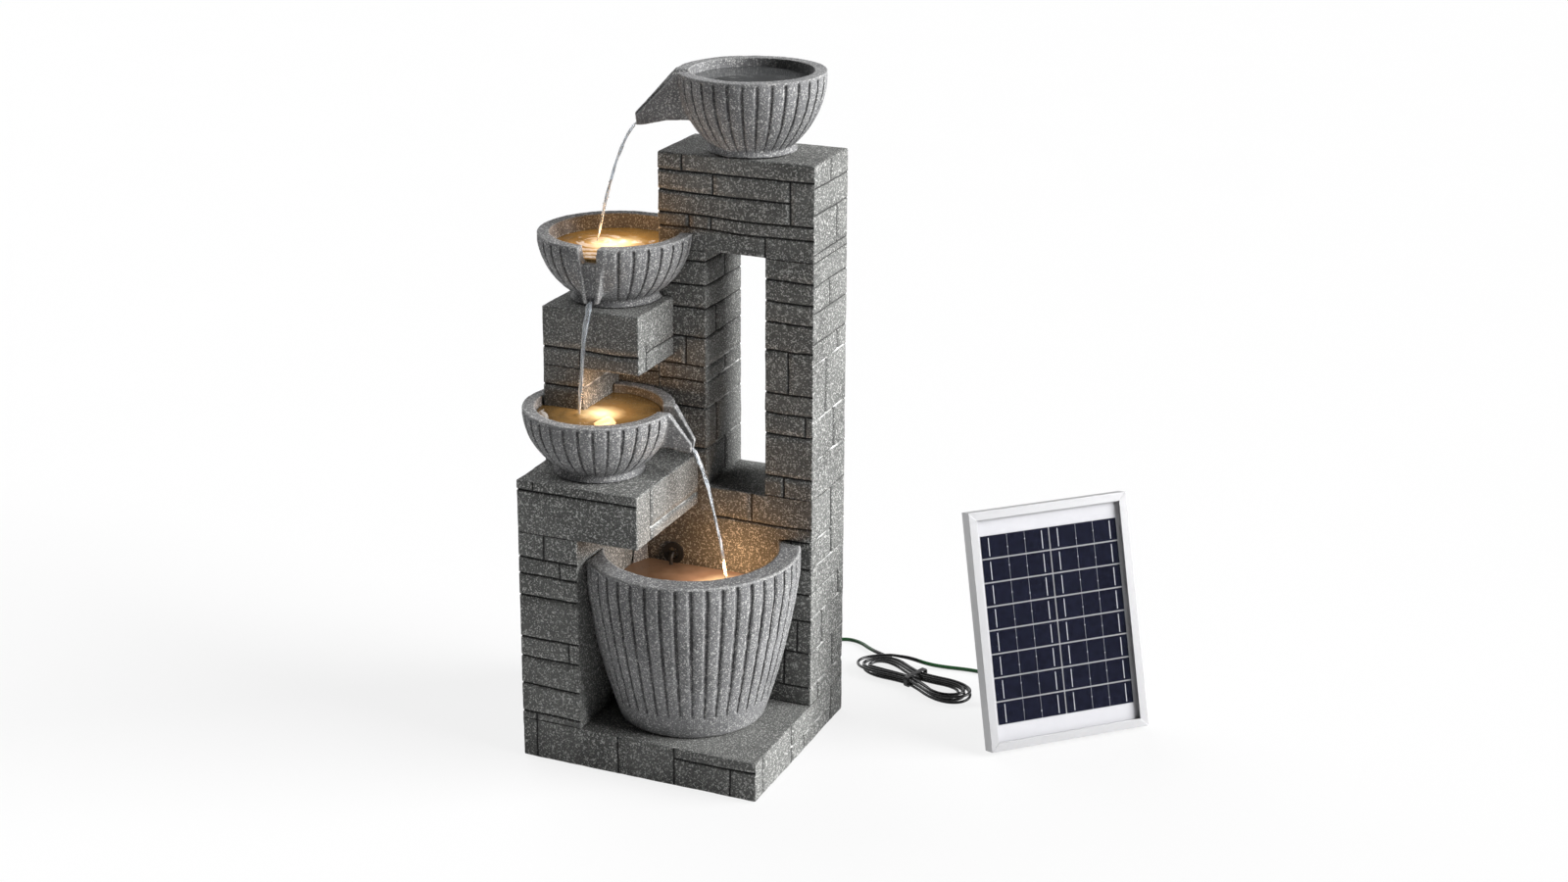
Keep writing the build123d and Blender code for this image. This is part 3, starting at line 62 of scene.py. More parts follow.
class FountainStone(bpy.types.PropertyGroup):
    """Sizes and colours of the cast stone."""

    base: FloatVectorProperty(
        name="Base",
        description="Ground colour of the stone",
        subtype="COLOR",
        size=3,
        default=(0.094, 0.096, 0.092),
    )
    fleck: FloatVectorProperty(
        name="Fleck",
        description="Light grains in the stone",
        subtype="COLOR",
        size=3,
        default=(0.56, 0.56, 0.54),
    )
    bowl: FloatVectorProperty(
        name="Bowl",
        description="Ground colour of the bowls",
        subtype="COLOR",
        size=3,
        default=(0.134, 0.135, 0.139),
    )
    rounding: FloatProperty(
        name="Rounding", description="Edge radius in mm", default=2.0, min=0.5, max=6
    )
    joint_width: FloatProperty(
        name="Joint width", description="Width of a joint in mm", default=1.15, min=0.5, max=4
    )
    joint_depth: FloatProperty(
        name="Joint depth", description="Depth of a joint in mm", default=2.2, min=0.5, max=4
    )
    grid: FloatProperty(
        name="Grid", description="Spacing of the faces' grid in mm", default=7, min=3, max=20
    )
    voxel: FloatProperty(
        name="Voxel",
        description="Grain of the bowls' mesh",
        subtype="DISTANCE",
        default=0.0013,
        min=0.0006,
        max=0.004,
    )


class FountainWater(bpy.types.PropertyGroup):
    """Colour and strength of the lit water's painted glow, and the lamps' power."""

    hot: FloatVectorProperty(
        name="Hot spot",
        description="Water over a light",
        subtype="COLOR",
        size=3,
        default=(1.0, 0.86, 0.5),
    )
    glow: FloatProperty(
        name="Glow", description="Strength of the lit water", default=0.5, min=0, max=5
    )
    lamp: FloatProperty(
        name="Lamp", description="Power of a full lamp in watts", default=0.16, min=0, max=5
    )


class FountainPanel(bpy.types.PropertyGroup):
    """Colours of the solar panel."""

    cell: FloatVectorProperty(
        name="Cell",
        description="Silicon colour",
        subtype="COLOR",
        size=3,
        default=(0.006, 0.007, 0.0155),
    )
    sheet: FloatVectorProperty(
        name="Back sheet",
        description="Sheet behind the cells",
        subtype="COLOR",
        size=3,
        default=(0.53, 0.53, 0.555),
    )
    metal: FloatVectorProperty(
        name="Frame",
        description="Anodised frame",
        subtype="COLOR",
        size=3,
        default=(0.43, 0.43, 0.44),
    )


class FountainCord(bpy.types.PropertyGroup):
    """The cord's sizes and colours."""

    diameter: FloatProperty(
        name="Diameter",
        description="Outside of the cord",
        subtype="DISTANCE",
        default=0.0044,
        min=0.002,
        max=0.01,
    )
    free: FloatVectorProperty(
        name="Free stretch",
        description="Cord off the hank",
        subtype="COLOR",
        size=3,
        default=(0.008, 0.06, 0.014),
    )
    hank: FloatVectorProperty(
        name="Hank",
        description="Cord in the hank",
        subtype="COLOR",
        size=3,
        default=(0.008, 0.008, 0.0095),
    )
    slim: FloatProperty(
        name="Slim", description="Share of the diameter in the hank", default=0.72, min=0.5, max=1
    )
    loops: IntProperty(
        name="Loops", description="Loops in each layer of the hank", default=3, min=1, max=6
    )


# Shader helpers


SOCKETS = {"ior": "IOR", "specular_ior_level": "Specular IOR Level"}


class Shader:
    """A material's node tree, with short calls for the nodes that are used here."""

    def __init__(self, name):
        self.material = bpy.data.materials.new(name)
        self.material.use_nodes = True
        self.tree = self.material.node_tree
        self.bsdf = self.tree.nodes["Principled BSDF"]
        self.coords = self.node("ShaderNodeTexCoord").outputs["Object"]

    def node(self, kind, **settings):
        made = self.tree.nodes.new(kind)
        for key, value in settings.items():
            setattr(made, key, value)
        return made

    def feed(self, socket, value):
        """Link a socket, or set its constant."""
        if isinstance(value, bpy.types.NodeSocket):
            self.tree.links.new(value, socket)
        else:
            socket.default_value = value

    def noise(self, scale, detail=2.0, rough=0.5, coords=None):
        made = self.node("ShaderNodeTexNoise")
        self.feed(made.inputs["Vector"], coords or self.coords)
        made.inputs["Scale"].default_value = scale
        made.inputs["Detail"].default_value = detail
        made.inputs["Roughness"].default_value = rough
        return made.outputs["Fac"]

    def ramp(self, value, low, high, start=0.0, end=1.0):
        """Stretch a value between two limits, clamped."""
        made = self.node("ShaderNodeMapRange", clamp=True)
        self.feed(made.inputs["Value"], value)
        for key, number in zip(("From Min", "From Max", "To Min", "To Max"), (low, high, start, end)):
            made.inputs[key].default_value = number
        return made.outputs["Result"]

    def math(self, operation, one, two=0.0):
        made = self.node("ShaderNodeMath", operation=operation)
        self.feed(made.inputs[0], one)
        self.feed(made.inputs[1], two)
        return made.outputs[0]

    def mix(self, factor, one, two):
        made = self.node("ShaderNodeMix", data_type="RGBA")
        self.feed(made.inputs["Factor"], factor)
        for key, value in (("A", one), ("B", two)):
            socket = next(s for s in made.inputs if s.name == key and s.type == "RGBA")
            self.feed(socket, value if isinstance(value, bpy.types.NodeSocket) else (*value[:3], 1))
        return next(s for s in made.outputs if s.type == "RGBA")

    def attribute(self, name):
        return self.node("ShaderNodeAttribute", attribute_name=name).outputs["Fac"]

    def distance(self, point):
        """How far the shaded point is from a fixed one, in metres."""
        made = self.node("ShaderNodeVectorMath", operation="DISTANCE")
        self.feed(made.inputs[0], self.coords)
        made.inputs[1].default_value = point
        return made.outputs["Value"]

    def off_middle(self, spot):
        """The larger of a place's distances from the middle along x and along y."""
        parts = self.node("ShaderNodeSeparateXYZ")
        self.feed(parts.inputs[0], spot)
        across, upward = (self.math("ABSOLUTE", parts.outputs[key]) for key in "XY")
        return self.math("MAXIMUM", across, upward)

    def bump(self, height, strength, distance, normal=None):
        made = self.node("ShaderNodeBump")
        self.feed(made.inputs["Height"], height)
        made.inputs["Strength"].default_value = strength
        made.inputs["Distance"].default_value = distance
        if normal is not None:
            self.feed(made.inputs["Normal"], normal)
        return made.outputs["Normal"]

    def set(self, **values):
        for key, value in values.items():
            socket = self.bsdf.inputs[SOCKETS.get(key) or key.replace("_", " ").title()]
            if not isinstance(value, bpy.types.NodeSocket) and hasattr(value, "__len__"):
                value = (*value[:3], 1)
            self.feed(socket, value)
        return self.material


def toned(colour, share):
    """A colour made darker or paler by a share."""
    return tuple(min(1.0, share * c) for c in colour)


# a flute's shade, in shares of the flutes' pitch from its middle: where it ends, where it is full, its wander
FLUTE_END, FLUTE_FULL, FLUTE_WANDER = 0.115, 0.03, 0.1


def flute_lines(s, axis, heading, count):
    """One down the middle of each flute round an upright axis, nought on the ribs."""
    spot = s.node("ShaderNodeSeparateXYZ")
    s.feed(spot.inputs[0], s.coords)
    across = s.math("SUBTRACT", spot.outputs["X"], axis[0] * MM)
    along = s.math("SUBTRACT", spot.outputs["Y"], axis[1] * MM)
    turn = s.math("SUBTRACT", s.math("ARCTAN2", along, across), math.radians(heading))
    phase = s.math("MULTIPLY", turn, count / (2 * math.pi))
    wander = s.math("MULTIPLY", s.math("SUBTRACT", s.noise(45), 0.5), FLUTE_WANDER)
    phase = s.math("ADD", phase, wander)
    away = s.math("ABSOLUTE", s.math("SUBTRACT", phase, s.math("ROUND", phase)))
    return s.math("MULTIPLY", s.ramp(away, FLUTE_END, FLUTE_FULL), s.attribute("outer"))


# scales of the stone's noise, from its clouds to its finest grains
CLOUDS, LUMPS, COARSE_GRAINS, PITS, FINE_GRAINS = 14, 90, 270, 400, 600
# colour of the painted shade at the bottom of joints and hollows
PAINTED_HOLLOW_SHADE = (0.012, 0.012, 0.012)
# colour of the painted highlight along the bed joints of lit right faces
PAINTED_JOINT_HIGHLIGHT = (0.82, 0.82, 0.8)
WET_STONE = (0.02, 0.018, 0.016)


def stone(name, base, fleck, flutes=None):
    """Dark cast stone with light and dark grains, painted shade in its joints, hollows and flutes, paler
    outward edges and a painted highlight along the lit joints of right faces.
    """
    s = Shader(name)
    grain = s.ramp(s.noise(FINE_GRAINS, 1.5, 0.6), 0.56, 0.65)
    coarse = s.ramp(s.noise(COARSE_GRAINS, 2.0, 0.6), 0.6, 0.7)
    pits = s.ramp(s.noise(PITS, 2.0, 0.55), 0.38, 0.3)
    cloud = s.ramp(s.noise(CLOUDS, 3.0, 0.6), 0.3, 0.7)
    colour = s.mix(cloud, toned(base, 0.74), toned(base, 1.32))
    colour = s.mix(s.math("MULTIPLY", grain, 0.7), colour, fleck)
    colour = s.mix(s.math("MULTIPLY", coarse, 0.5), colour, fleck)
    colour = s.mix(s.math("MULTIPLY", pits, 0.7), colour, toned(base, 0.3))
    # painted shade where the surface is hollow; the bowls' outward edges a little paler
    cavity = s.attribute("cavity")
    colour = s.mix(s.ramp(cavity, -0.1, -0.6, 0.0, 0.4), colour, fleck)
    colour = s.mix(s.ramp(cavity, 0.2, 0.6, 0.0, 0.9), colour, PAINTED_HOLLOW_SHADE)
    rough = s.bump(s.noise(FINE_GRAINS, 3.0, 0.65), 0.45, 0.0007)
    normal = s.bump(s.noise(LUMPS, 3.0, 0.6), 0.4, 0.002, rough)
    dullness = s.ramp(grain, 0, 1, 0.86, 0.6)
    if flutes:
        groove = flute_lines(s, *flutes)
        # painted shade down the middle of each flute
        shade = s.math("MULTIPLY", groove, s.ramp(s.noise(32), 0.32, 0.62, 0.18, 0.72))
        colour = s.mix(shade, colour, toned(base, 0.16))
        normal = s.bump(s.math("SUBTRACT", 1.0, groove), 0.9, 0.003, normal)
        wet = s.attribute("wet")
        colour = s.mix(s.math("MULTIPLY", wet, 0.85), colour, WET_STONE)
        dullness = s.math("SUBTRACT", dullness, s.math("MULTIPLY", wet, 0.45))
    else:
        # a painted highlight, broken up a little, along the bed joints of lit right faces
        broken = s.ramp(s.noise(55, 2.0), 0.42, 0.6, 0.0, 0.75)
        painted_highlight = s.math("MULTIPLY", s.ramp(s.attribute("painted_highlight"), 0.2, 0.9), broken)
        colour = s.mix(painted_highlight, colour, PAINTED_JOINT_HIGHLIGHT)
    return s.set(base_color=colour, roughness=dullness, normal=normal)


def finish(name, colour, roughness, metallic=0.0, grain=300, amount=0.12, ior=1.5):
    """A plain finish with a little unevenness in its colour, gloss and surface."""
    s = Shader(name)
    field = s.noise(grain, 3.0, 0.6)
    tone = s.mix(s.ramp(field, 0.3, 0.7), toned(colour, 1 - amount), toned(colour, 1 + amount))
    normal = s.bump(field, 0.08, 0.0004)
    gloss = s.ramp(field, 0.3, 0.7, 0.85 * roughness, min(1.0, 1.15 * roughness))
    return s.set(base_color=tone, roughness=gloss, metallic=metallic, ior=ior, normal=normal)


# Mesh helpers


def place(name, mesh, material, nodes=()):
    """Link a finished mesh, let it ride on the fountain's body and stand for its CAD nodes."""
    made = bpy.data.objects.new(name, mesh)
    bpy.context.scene.collection.objects.link(made)
    mesh.materials.clear()
    mesh.materials.append(material)
    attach(made, ROOT)
    if nodes:
        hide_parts(*nodes)


def dress(node, material):
    """Give a CAD node that keeps its own shape a finish."""
    materials = NODES[node].data.materials
    materials.clear()
    materials.append(material)


def merged(node):
    """A CAD node's mesh as a bmesh with its doubled points joined."""
    copy = bmesh.new()
    copy.from_mesh(NODES[node].data)
    bmesh.ops.remove_doubles(copy, verts=copy.verts, dist=1e-6)
    return copy


def to_mesh(bm, name, smooth=True):
    """Write a bmesh to a new mesh and free it."""
    mesh = bpy.data.meshes.new(name)
    for face in bm.faces:
        face.smooth = smooth
    bm.to_mesh(mesh)
    bm.free()
    return mesh


def read(collection, key, size):
    """One property of a mesh's points or edges as an array."""
    values = np.empty(len(collection) * size, dtype=np.int32 if key == "vertices" else np.float32)
    collection.foreach_get(key, values)
    return values.reshape(-1, size)


def store(mesh, name, values):
    """Keep one number for each point of a mesh, for its material to read."""
    layer = mesh.attributes.new(name, "FLOAT", "POINT")
    layer.data.foreach_set("value", values.astype(np.float32))


CAVITY_GAIN = 2.2


def mark_cavity(mesh):
    """Store how hollow each point is, above nought in a groove and below it on an edge."""
    spots, normals = read(mesh.vertices, "co", 3), read(mesh.vertices, "normal", 3)
    one, two = read(mesh.edges, "vertices", 2).T
    step = spots[two] - spots[one]
    step /= np.linalg.norm(step, axis=1, keepdims=True) + 1e-9
    count = np.bincount(one, minlength=len(spots)) + np.bincount(two, minlength=len(spots))

    def gather(at_one, at_two):
        total = np.bincount(one, at_one, len(spots)) + np.bincount(two, at_two, len(spots))
        return total / np.maximum(count, 1)

    hollow = gather((step * normals[one]).sum(axis=1), -(step * normals[two]).sum(axis=1))
    hollow = 0.5 * hollow + 0.5 * gather(hollow[two], hollow[one])
    store(mesh, "cavity", CAVITY_GAIN * hollow)


# depth of the bowls' wear in mm: all over, in broad lumps and in small ones
WEAR, BROAD_WEAR, SMALL_WEAR = 0.4, 0.3, 0.2


def weather(mesh):
    """Wear a mesh down a little and unevenly, never outwards."""
    spots, normals = read(mesh.vertices, "co", 3), read(mesh.vertices, "normal", 3)
    wear = [
        WEAR + BROAD_WEAR * noise.noise(p * 0.05) + SMALL_WEAR * noise.noise(p * 0.2)
        for p in (Vector(s) / MM for s in spots)
    ]
    spots -= normals * (MM * np.array(wear, dtype=np.float32))[:, None]
    mesh.vertices.foreach_set("co", spots.ravel())
    mesh.update()


def remeshed(node, voxel, passes):
    """A CAD node's surface drawn again as an even, slightly softened skin."""
    holder = bpy.data.objects.new("holder", to_mesh(merged(node), "holder"))
    bpy.context.scene.collection.objects.link(holder)
    remesh = holder.modifiers.new("remesh", "REMESH")
    remesh.mode = "VOXEL"
    remesh.voxel_size = voxel
    soften = holder.modifiers.new("soften", "SMOOTH")
    soften.factor = 0.5
    soften.iterations = passes
    graph = bpy.context.evaluated_depsgraph_get()
    mesh = bpy.data.meshes.new_from_object(holder.evaluated_get(graph), depsgraph=graph)
    bpy.data.objects.remove(holder)
    return mesh


# Masonry: for each casting, the beds and upright joints on its faces, in mm.
# A bed is a height, or (height, from, to). An upright is (place, low, high).

PIER_BEDS = (51.5, 84, 115.5, 137.5, 185, 209, 227)
SIDE_BEDS = (63.5, 103, 143, 171, 199, 229)
LEFT_BEDS = (318, 363, 392, 409, 440, 471, 496, 522)
RIGHT_BEDS = (299.5, 346, 369, 391, 437, 467, 489.5, 512.5)
PILLAR_BEDS = (318, 363, 424, 447, 480, 508)
COLUMN_BEDS = (345, 372, 397)
REAR_BEDS = (318, 345, 391, 424, 447)
JOINTS = {
    "plinth": {
        "front": (((32, 42, 135),), ((-118, 0, 44), (-23, 0, 44), (42, 0, 44), (106, 0, 32))),
        "right": (((18, -24, 87),), ((-99, 0, 44), (-24, 0, 44), (11, 0, 18), (87, 0, 44))),
        "back": (((26, -60, 135),), ((-60, 0, 44), (40, 0, 44), (88, 0, 26))),
        "left": (((32, -120, 30),), ((-70, 0, 32), (30, 0, 44), (86, 0, 44))),
    },
    "left_pier": {
        "front": (PIER_BEDS, ((-105, 227, 255), (-87, 209, 227), (-78, 115.5, 137.5), (-118, 44, 51.5))),
        "left": (
            PIER_BEDS,
            ((-76, 44, 84), (-29, 84, 115.5), (-76, 137.5, 185), (-29, 185, 209), (-76, 227, 255)),
        ),
    },
    "lower_ledge": {
        "front": ((302,), ((-116, 302, 313),)),
        "left": ((302,), ((-60, 255, 302),)),
        "right": (((269, -86, 27),), ((-86, 255, 313),)),
    },
    "left_column": {
        "front": ((397,), ()),
        "left": (COLUMN_BEDS, ((-31, 313, 345), (-5, 345, 372), (-31, 372, 397))),
        "right": ((397,), ()),
    },
    "upper_ledge": {
        "front": ((438,), ((-91, 418, 438),)),
        "left": ((438,), ((-20, 438, 482),)),
        "right": (((438, -36, 27),), ((-36, 418, 452),)),
    },
    "rear_wall": {
        "front": (
            (*((level, 97, 135) for level in (64, 103, 140, 171, 199, 229)), (244, 19, 135)),
            ((66, 244, 277), (110, 199, 229), (118, 103, 140), (104, 64, 103)),
        ),
        "right": (
            SIDE_BEDS,
            ((82, 199, 277), (105, 143, 171), (60, 103, 143), (90, 63.5, 103), (50, 44, 63.5)),
        ),
        "left": (
            SIDE_BEDS,
            ((55, 44, 63.5), (84, 63.5, 103), (55, 103, 143), (84, 171, 199), (55, 229, 277)),
        ),
        "back": (
            (63.5, 86, 229, 252),
            (
                (-54, 44, 63.5), (32, 63.5, 86), (-54, 229, 252),
                (32, 252, 277), (86, 44, 63.5), (-103, 63.5, 86),
            ),
        ),
    },
    "rear_column": {
        "front": (COLUMN_BEDS, ()),
        "back": (
            REAR_BEDS,
            ((-107, 277, 318), (-77, 318, 345), (-107, 345, 391), (-77, 391, 424), (-107, 447, 482)),
        ),
        "left": (REAR_BEDS, ((92, 277, 318), (64, 318, 345), (92, 345, 391), (64, 424, 447))),
    },
    "left_pillar": {
        "front": (LEFT_BEDS, ((-9, 409, 440), (-22, 318, 363))),
        "right": (
            LEFT_BEDS,
            ((78, 277, 318), (55, 318, 363), (78, 392, 409), (55, 440, 471), (78, 496, 522)),
        ),
        "back": (LEFT_BEDS, ((-24, 277, 318), (-7, 318, 363), (-24, 392, 440), (-7, 471, 496))),
    },
    "right_pillar": {
        "front": (RIGHT_BEDS, ((106, 391, 437), (125, 346, 369), (102, 277, 299.5))),
        "right": (PILLAR_BEDS, ((73, 480, 508), (95, 424, 447), (64, 363, 424), (87, 318, 363))),
        "left": (RIGHT_BEDS, ((83, 277, 299.5), (60, 299.5, 346), (83, 369, 391), (60, 437, 467))),
        "back": (PILLAR_BEDS, ((96, 277, 318), (114, 363, 424), (96, 447, 480))),
    },
    "lintel": {
        "front": (
            (557, 571, 617, (594.5, -41, 108)),
            (
                (-12, 617, 636), (22, 594.5, 617), (108, 571, 617),
                (-6, 557, 571), (19, 557, 571), (80, 534, 557),
            ),
        ),
        "right": ((542, 583, 611), ((72, 611, 636), (91, 542, 583))),
        "left": ((557, 571, 594.5, 617), ((70, 571, 594.5), (96, 594.5, 617))),
        "back": (
            (557, 583, 611),
            ((12, 534, 557), (68, 557, 583), (12, 583, 611), (96, 534, 557), (-15, 583, 611)),
        ),
    },
}
# each side's axis and its sign along it
SIDES = {"front": (1, -1), "back": (1, 1), "left": (0, -1), "right": (0, 1)}
# widths of the uprights, in joint widths
UPRIGHT_WIDTH = {"front": 1.0, "back": 1.0, "left": 1.0, "right": 2.2}
# below this height, in mm, each bed on a right face, where the light falls, carries a painted highlight in
# place of painted shade
PAINTED_HIGHLIGHT_TOP = 430
# how far from its middle a joint's cut fades out, in its widths, and how steep its sides are
JOINT_REACH, JOINT_STEEP = 1.25, 1.6
# where the grid has lines: round a joint, in its widths, and at an edge, in the edge's radius
JOINT_LINES = (0.0, 0.55, -0.55, JOINT_REACH, -JOINT_REACH)
EDGE_LINES = (0.3, 0.65, 1.0, 1.9)
LEAST_SPACING = 0.5
# a bed without ends of its own runs across its whole face
WHOLE_FACE = (-1000, 1000)
# how much the edges' radius varies, and how far the faces are worn, in mm, in broad dents and in pits
EDGE_WANDER, DENTS, DENT_PITS = 0.35, 0.9, 0.45
# the joints' waves, in mm: long ones, short ones, and how far from an edge they die out
LONG_WAVE, SHORT_WAVE, WAVE_FADE = 1.6, 0.5, 12
# strength of the painted shade in a joint at its deepest
JOINT_SHADE = 0.75


def box_mm(node):
    """A CAD node's box in mm, as rounded low and high corners."""
    low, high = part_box(node)
    return [round(c / MM, 2) for c in low], [round(c / MM, 2) for c in high]


def lattice_lines(low, high, marks, step, rounding):
    """Grid lines along one axis: even steps, a few at the edges and two each side of a joint."""
    wanted = [low, high]
    wanted += [mark + share * width for mark, width in marks for share in JOINT_LINES]
    for share in EDGE_LINES:
        wanted += [low + share * rounding, high - share * rounding]
    count = max(2, round((high - low) / step))
    wanted += [low + (high - low) * n / count for n in range(1, count)]
    kept = []
    for value in wanted:
        if low <= value <= high and all(abs(value - other) > LEAST_SPACING for other in kept):
            kept.append(value)
    return sorted(kept)


def block_grid(low, high, marks, settings):
    """A box cut into a grid that is finer at its edges and joints."""
    bm = bmesh.new()
    bmesh.ops.create_cube(bm, size=1)
    bmesh.ops.scale(bm, verts=bm.verts, vec=[high[a] - low[a] for a in range(3)])
    bmesh.ops.translate(bm, verts=bm.verts, vec=[(high[a] + low[a]) / 2 for a in range(3)])
    for axis in range(3):
        lines = lattice_lines(low[axis], high[axis], marks[axis], settings.grid, settings.rounding)
        for value in lines[1:-1]:
            spot, normal = Vector(), Vector()
            spot[axis], normal[axis] = value, 1
            whole = bm.verts[:] + bm.edges[:] + bm.faces[:]
            bmesh.ops.bisect_plane(bm, geom=whole, dist=1e-4, plane_co=spot, plane_no=normal)
    return bm


def rounded(p, low, high, radius, inside_other):
    """A box's point moved onto its rounded edges, and its outward way there, or None on a flat face."""
    bound_low, bound_high = list(low), list(high)
    inner = [min(max(p[a], low[a] + 1), high[a] - 1) for a in range(3)]
    near = sum(1 for a in range(3) if min(p[a] - low[a], high[a] - p[a]) < 1.4 * radius)
    for axis in range(3 if near > 1 else 0):
        for sign, bound, end in ((-1, bound_low, low), (1, bound_high, high)):
            # an end past which another block carries the face on isn't rounded
            probe = list(inner)
            probe[axis] = end[axis] + 2 * sign
            if not inside_other(probe):
                bound[axis] -= sign * radius
    core = Vector([min(max(p[a], bound_low[a]), bound_high[a]) for a in range(3)])
    out = p - core
    if sum(1 for a in range(3) if abs(out[a]) > 1e-4) < 2:
        return p.copy(), None
    out.normalize()
    return core + out * radius, out


def joint_depths(pattern, along, height, bed_width, upright_width):
    """How deep the beds and the uprights are cut at a place on a face, each from nought to one."""
    beds, uprights = pattern
    bed_cut = upright_cut = 0.0
    for bed in beds:
        level, low, high = bed if hasattr(bed, "__len__") else (bed, *WHOLE_FACE)
        if low - 1 <= along <= high + 1:
            bed_cut = max(bed_cut, 1 - abs(height - level) / (JOINT_REACH * bed_width))
    for position, low, high in uprights:
        if low <= height <= high:
            upright_cut = max(upright_cut, 1 - abs(along - position) / (JOINT_REACH * upright_width))
    return min(1.0, JOINT_STEEP * bed_cut), min(1.0, JOINT_STEEP * upright_cut)


def casting_mesh(name, boxes, settings):
    """A block of masonry: its box as a grid, rounded at free edges, sunk at joints and a little uneven."""
    low, high = boxes[name]
    width, sunk = settings.joint_width, settings.joint_depth
    marks = [[], [], []]
    for side, (beds, uprights) in JOINTS[name].items():
        across = 1 - SIDES[side][0]
        marks[2] += [(b[0] if hasattr(b, "__len__") else b, width) for b in beds]
        marks[across] += [(u[0], width * UPRIGHT_WIDTH[side]) for u in uprights]
    others = [b for n, b in boxes.items() if n != name]

    def inside_other(point):
        return any(all(lo[a] - 0.2 <= point[a] <= hi[a] + 0.2 for a in range(3)) for lo, hi in others)

    def end_at(value, axis):
        """Which end of the box a point is on along an axis, or nought."""
        return -1 if value < low[axis] + 0.01 else 1 if value > high[axis] - 0.01 else 0

    bm = block_grid(low, high, marks, settings)
    cavity = bm.verts.layers.float.new("cavity")
    painted_highlight = bm.verts.layers.float.new("painted_highlight")
    for vert in bm.verts:
        grid = vert.co.copy()
        ends = [end_at(grid[a], a) for a in range(3)]
        radius = settings.rounding * (1 + EDGE_WANDER * noise.noise(grid * 0.05))
        p, normal = rounded(grid, low, high, radius, inside_other)
        if normal is None:
            normal = Vector(ends)
        normal.normalize()
        # joints, waved a little, on each face that this point belongs to
        wave = noise.noise_vector(p * 0.018) * LONG_WAVE + noise.noise_vector(p * 0.07) * SHORT_WAVE
        depth = bright = 0.0
        for side, (axis, sign) in SIDES.items():
            if side in JOINTS[name] and ends[axis] == sign:
                bed, upright = joint_depths(
                    JOINTS[name][side], grid[1 - axis], grid[2], width, width * UPRIGHT_WIDTH[side]
                )
                p[axis] -= sign * sunk * max(bed, upright)
                # on a lit right face the bed carries a painted highlight instead of painted shade
                if side == "right" and grid[2] < PAINTED_HIGHLIGHT_TOP:
                    bright, bed = bed, 0.0
                depth = max(depth, bed, upright)
        for axis in range(3):
            room = min(abs(p[axis] - low[axis]), abs(high[axis] - p[axis]))
            if ends[axis] == 0:
                p[axis] += wave[axis] * min(1.0, room / WAVE_FADE)
        uneven = 0.5 + 0.5 * noise.noise(p * 0.033)
        pitted = 0.5 + 0.5 * noise.noise(p * 0.16)
        p -= normal * (DENTS * uneven + DENT_PITS * pitted)
        vert.co = p * MM
        vert[cavity] = JOINT_SHADE * depth
        vert[painted_highlight] = bright
    bmesh.ops.recalc_face_normals(bm, faces=bm.faces)
    return to_mesh(bm, name)


class FOUNTAIN_OT_castings(bpy.types.Operator):
    """Build the tower's masonry blocks"""

    bl_idname = "fountain.castings"
    bl_label = "Masonry"

    def execute(self, context):
        settings = context.scene.fountain_stone
        material = stone("tower_stone", tuple(settings.base), tuple(settings.fleck))
        boxes = {name: box_mm(name) for name in JOINTS}
        for name in JOINTS:
            place(f"{name}_stone", casting_mesh(name, boxes, settings), material, (name,))
        return {"FINISHED"}


# Bowls: the middles of the three bowls and the pot, in mm

TOP, SECOND, THIRD, BASIN = (46, 73.5), (-80, 8), (-71, -54), (19, -23)
BOWLS = {
    # name: axis, foot and top of the flutes, heading of the spout, flutes all round, spout, grain of the mesh
    "top_bowl": (TOP, (642, 716), 207, 32, True, 1.0),
    "second_bowl": (SECOND, (488, 550), -84, 32, True, 1.0),
    "third_bowl": (THIRD, (319, 380), 11, 32, True, 1.0),
    "basin_pot": (BASIN, (70, 225), 0, 44, False, 1.3),
}
# the wet part of a spout, in mm: its half width, and how far from the axis it starts and is full
SPOUT_HALF, SPOUT_START, SPOUT_FULL = 10, 44, 52
# how far from the spout's middle the flutes start, in their pitch, and the length in mm over which marks fade
SPOUT_CLEAR, FADE = 1.5, 2


def fade_in(values, start, full):
    """Nought up to one value and one from another."""
    return np.clip((values - start) / (full - start), 0, 1)


def mark_outer(mesh, axis, span, heading, count, spout):
    """Store where a bowl is fluted, outside and clear of the spout, and where its spout is wet."""
    spots, normals = read(mesh.vertices, "co", 3) / MM, read(mesh.vertices, "normal", 3)
    out = spots[:, :2] - np.array(axis)
    reach = np.linalg.norm(out, axis=1) + 1e-6
    facing = (out * normals[:, :2]).sum(axis=1) / reach
    turn = np.degrees(np.arctan2(out[:, 1], out[:, 0])) - heading
    turn = np.abs((turn + 180) % 360 - 180)
    height = spots[:, 2]
    outer = fade_in(facing, 0.1, 0.3)
    outer *= fade_in(height, span[0], span[0] + FADE) * fade_in(height, span[1], span[1] - FADE)
    wet = np.zeros(len(spots))
    if spout:
        outer *= turn > SPOUT_CLEAR * 360 / count
        aside = reach * np.abs(np.sin(np.radians(turn)))
        wet = fade_in(aside, SPOUT_HALF, SPOUT_HALF - FADE) * (turn < 90)
        wet *= fade_in(reach, SPOUT_START, SPOUT_FULL) * np.clip(0.6 - facing, 0, 1)
    store(mesh, "outer", outer)
    store(mesh, "wet", wet)


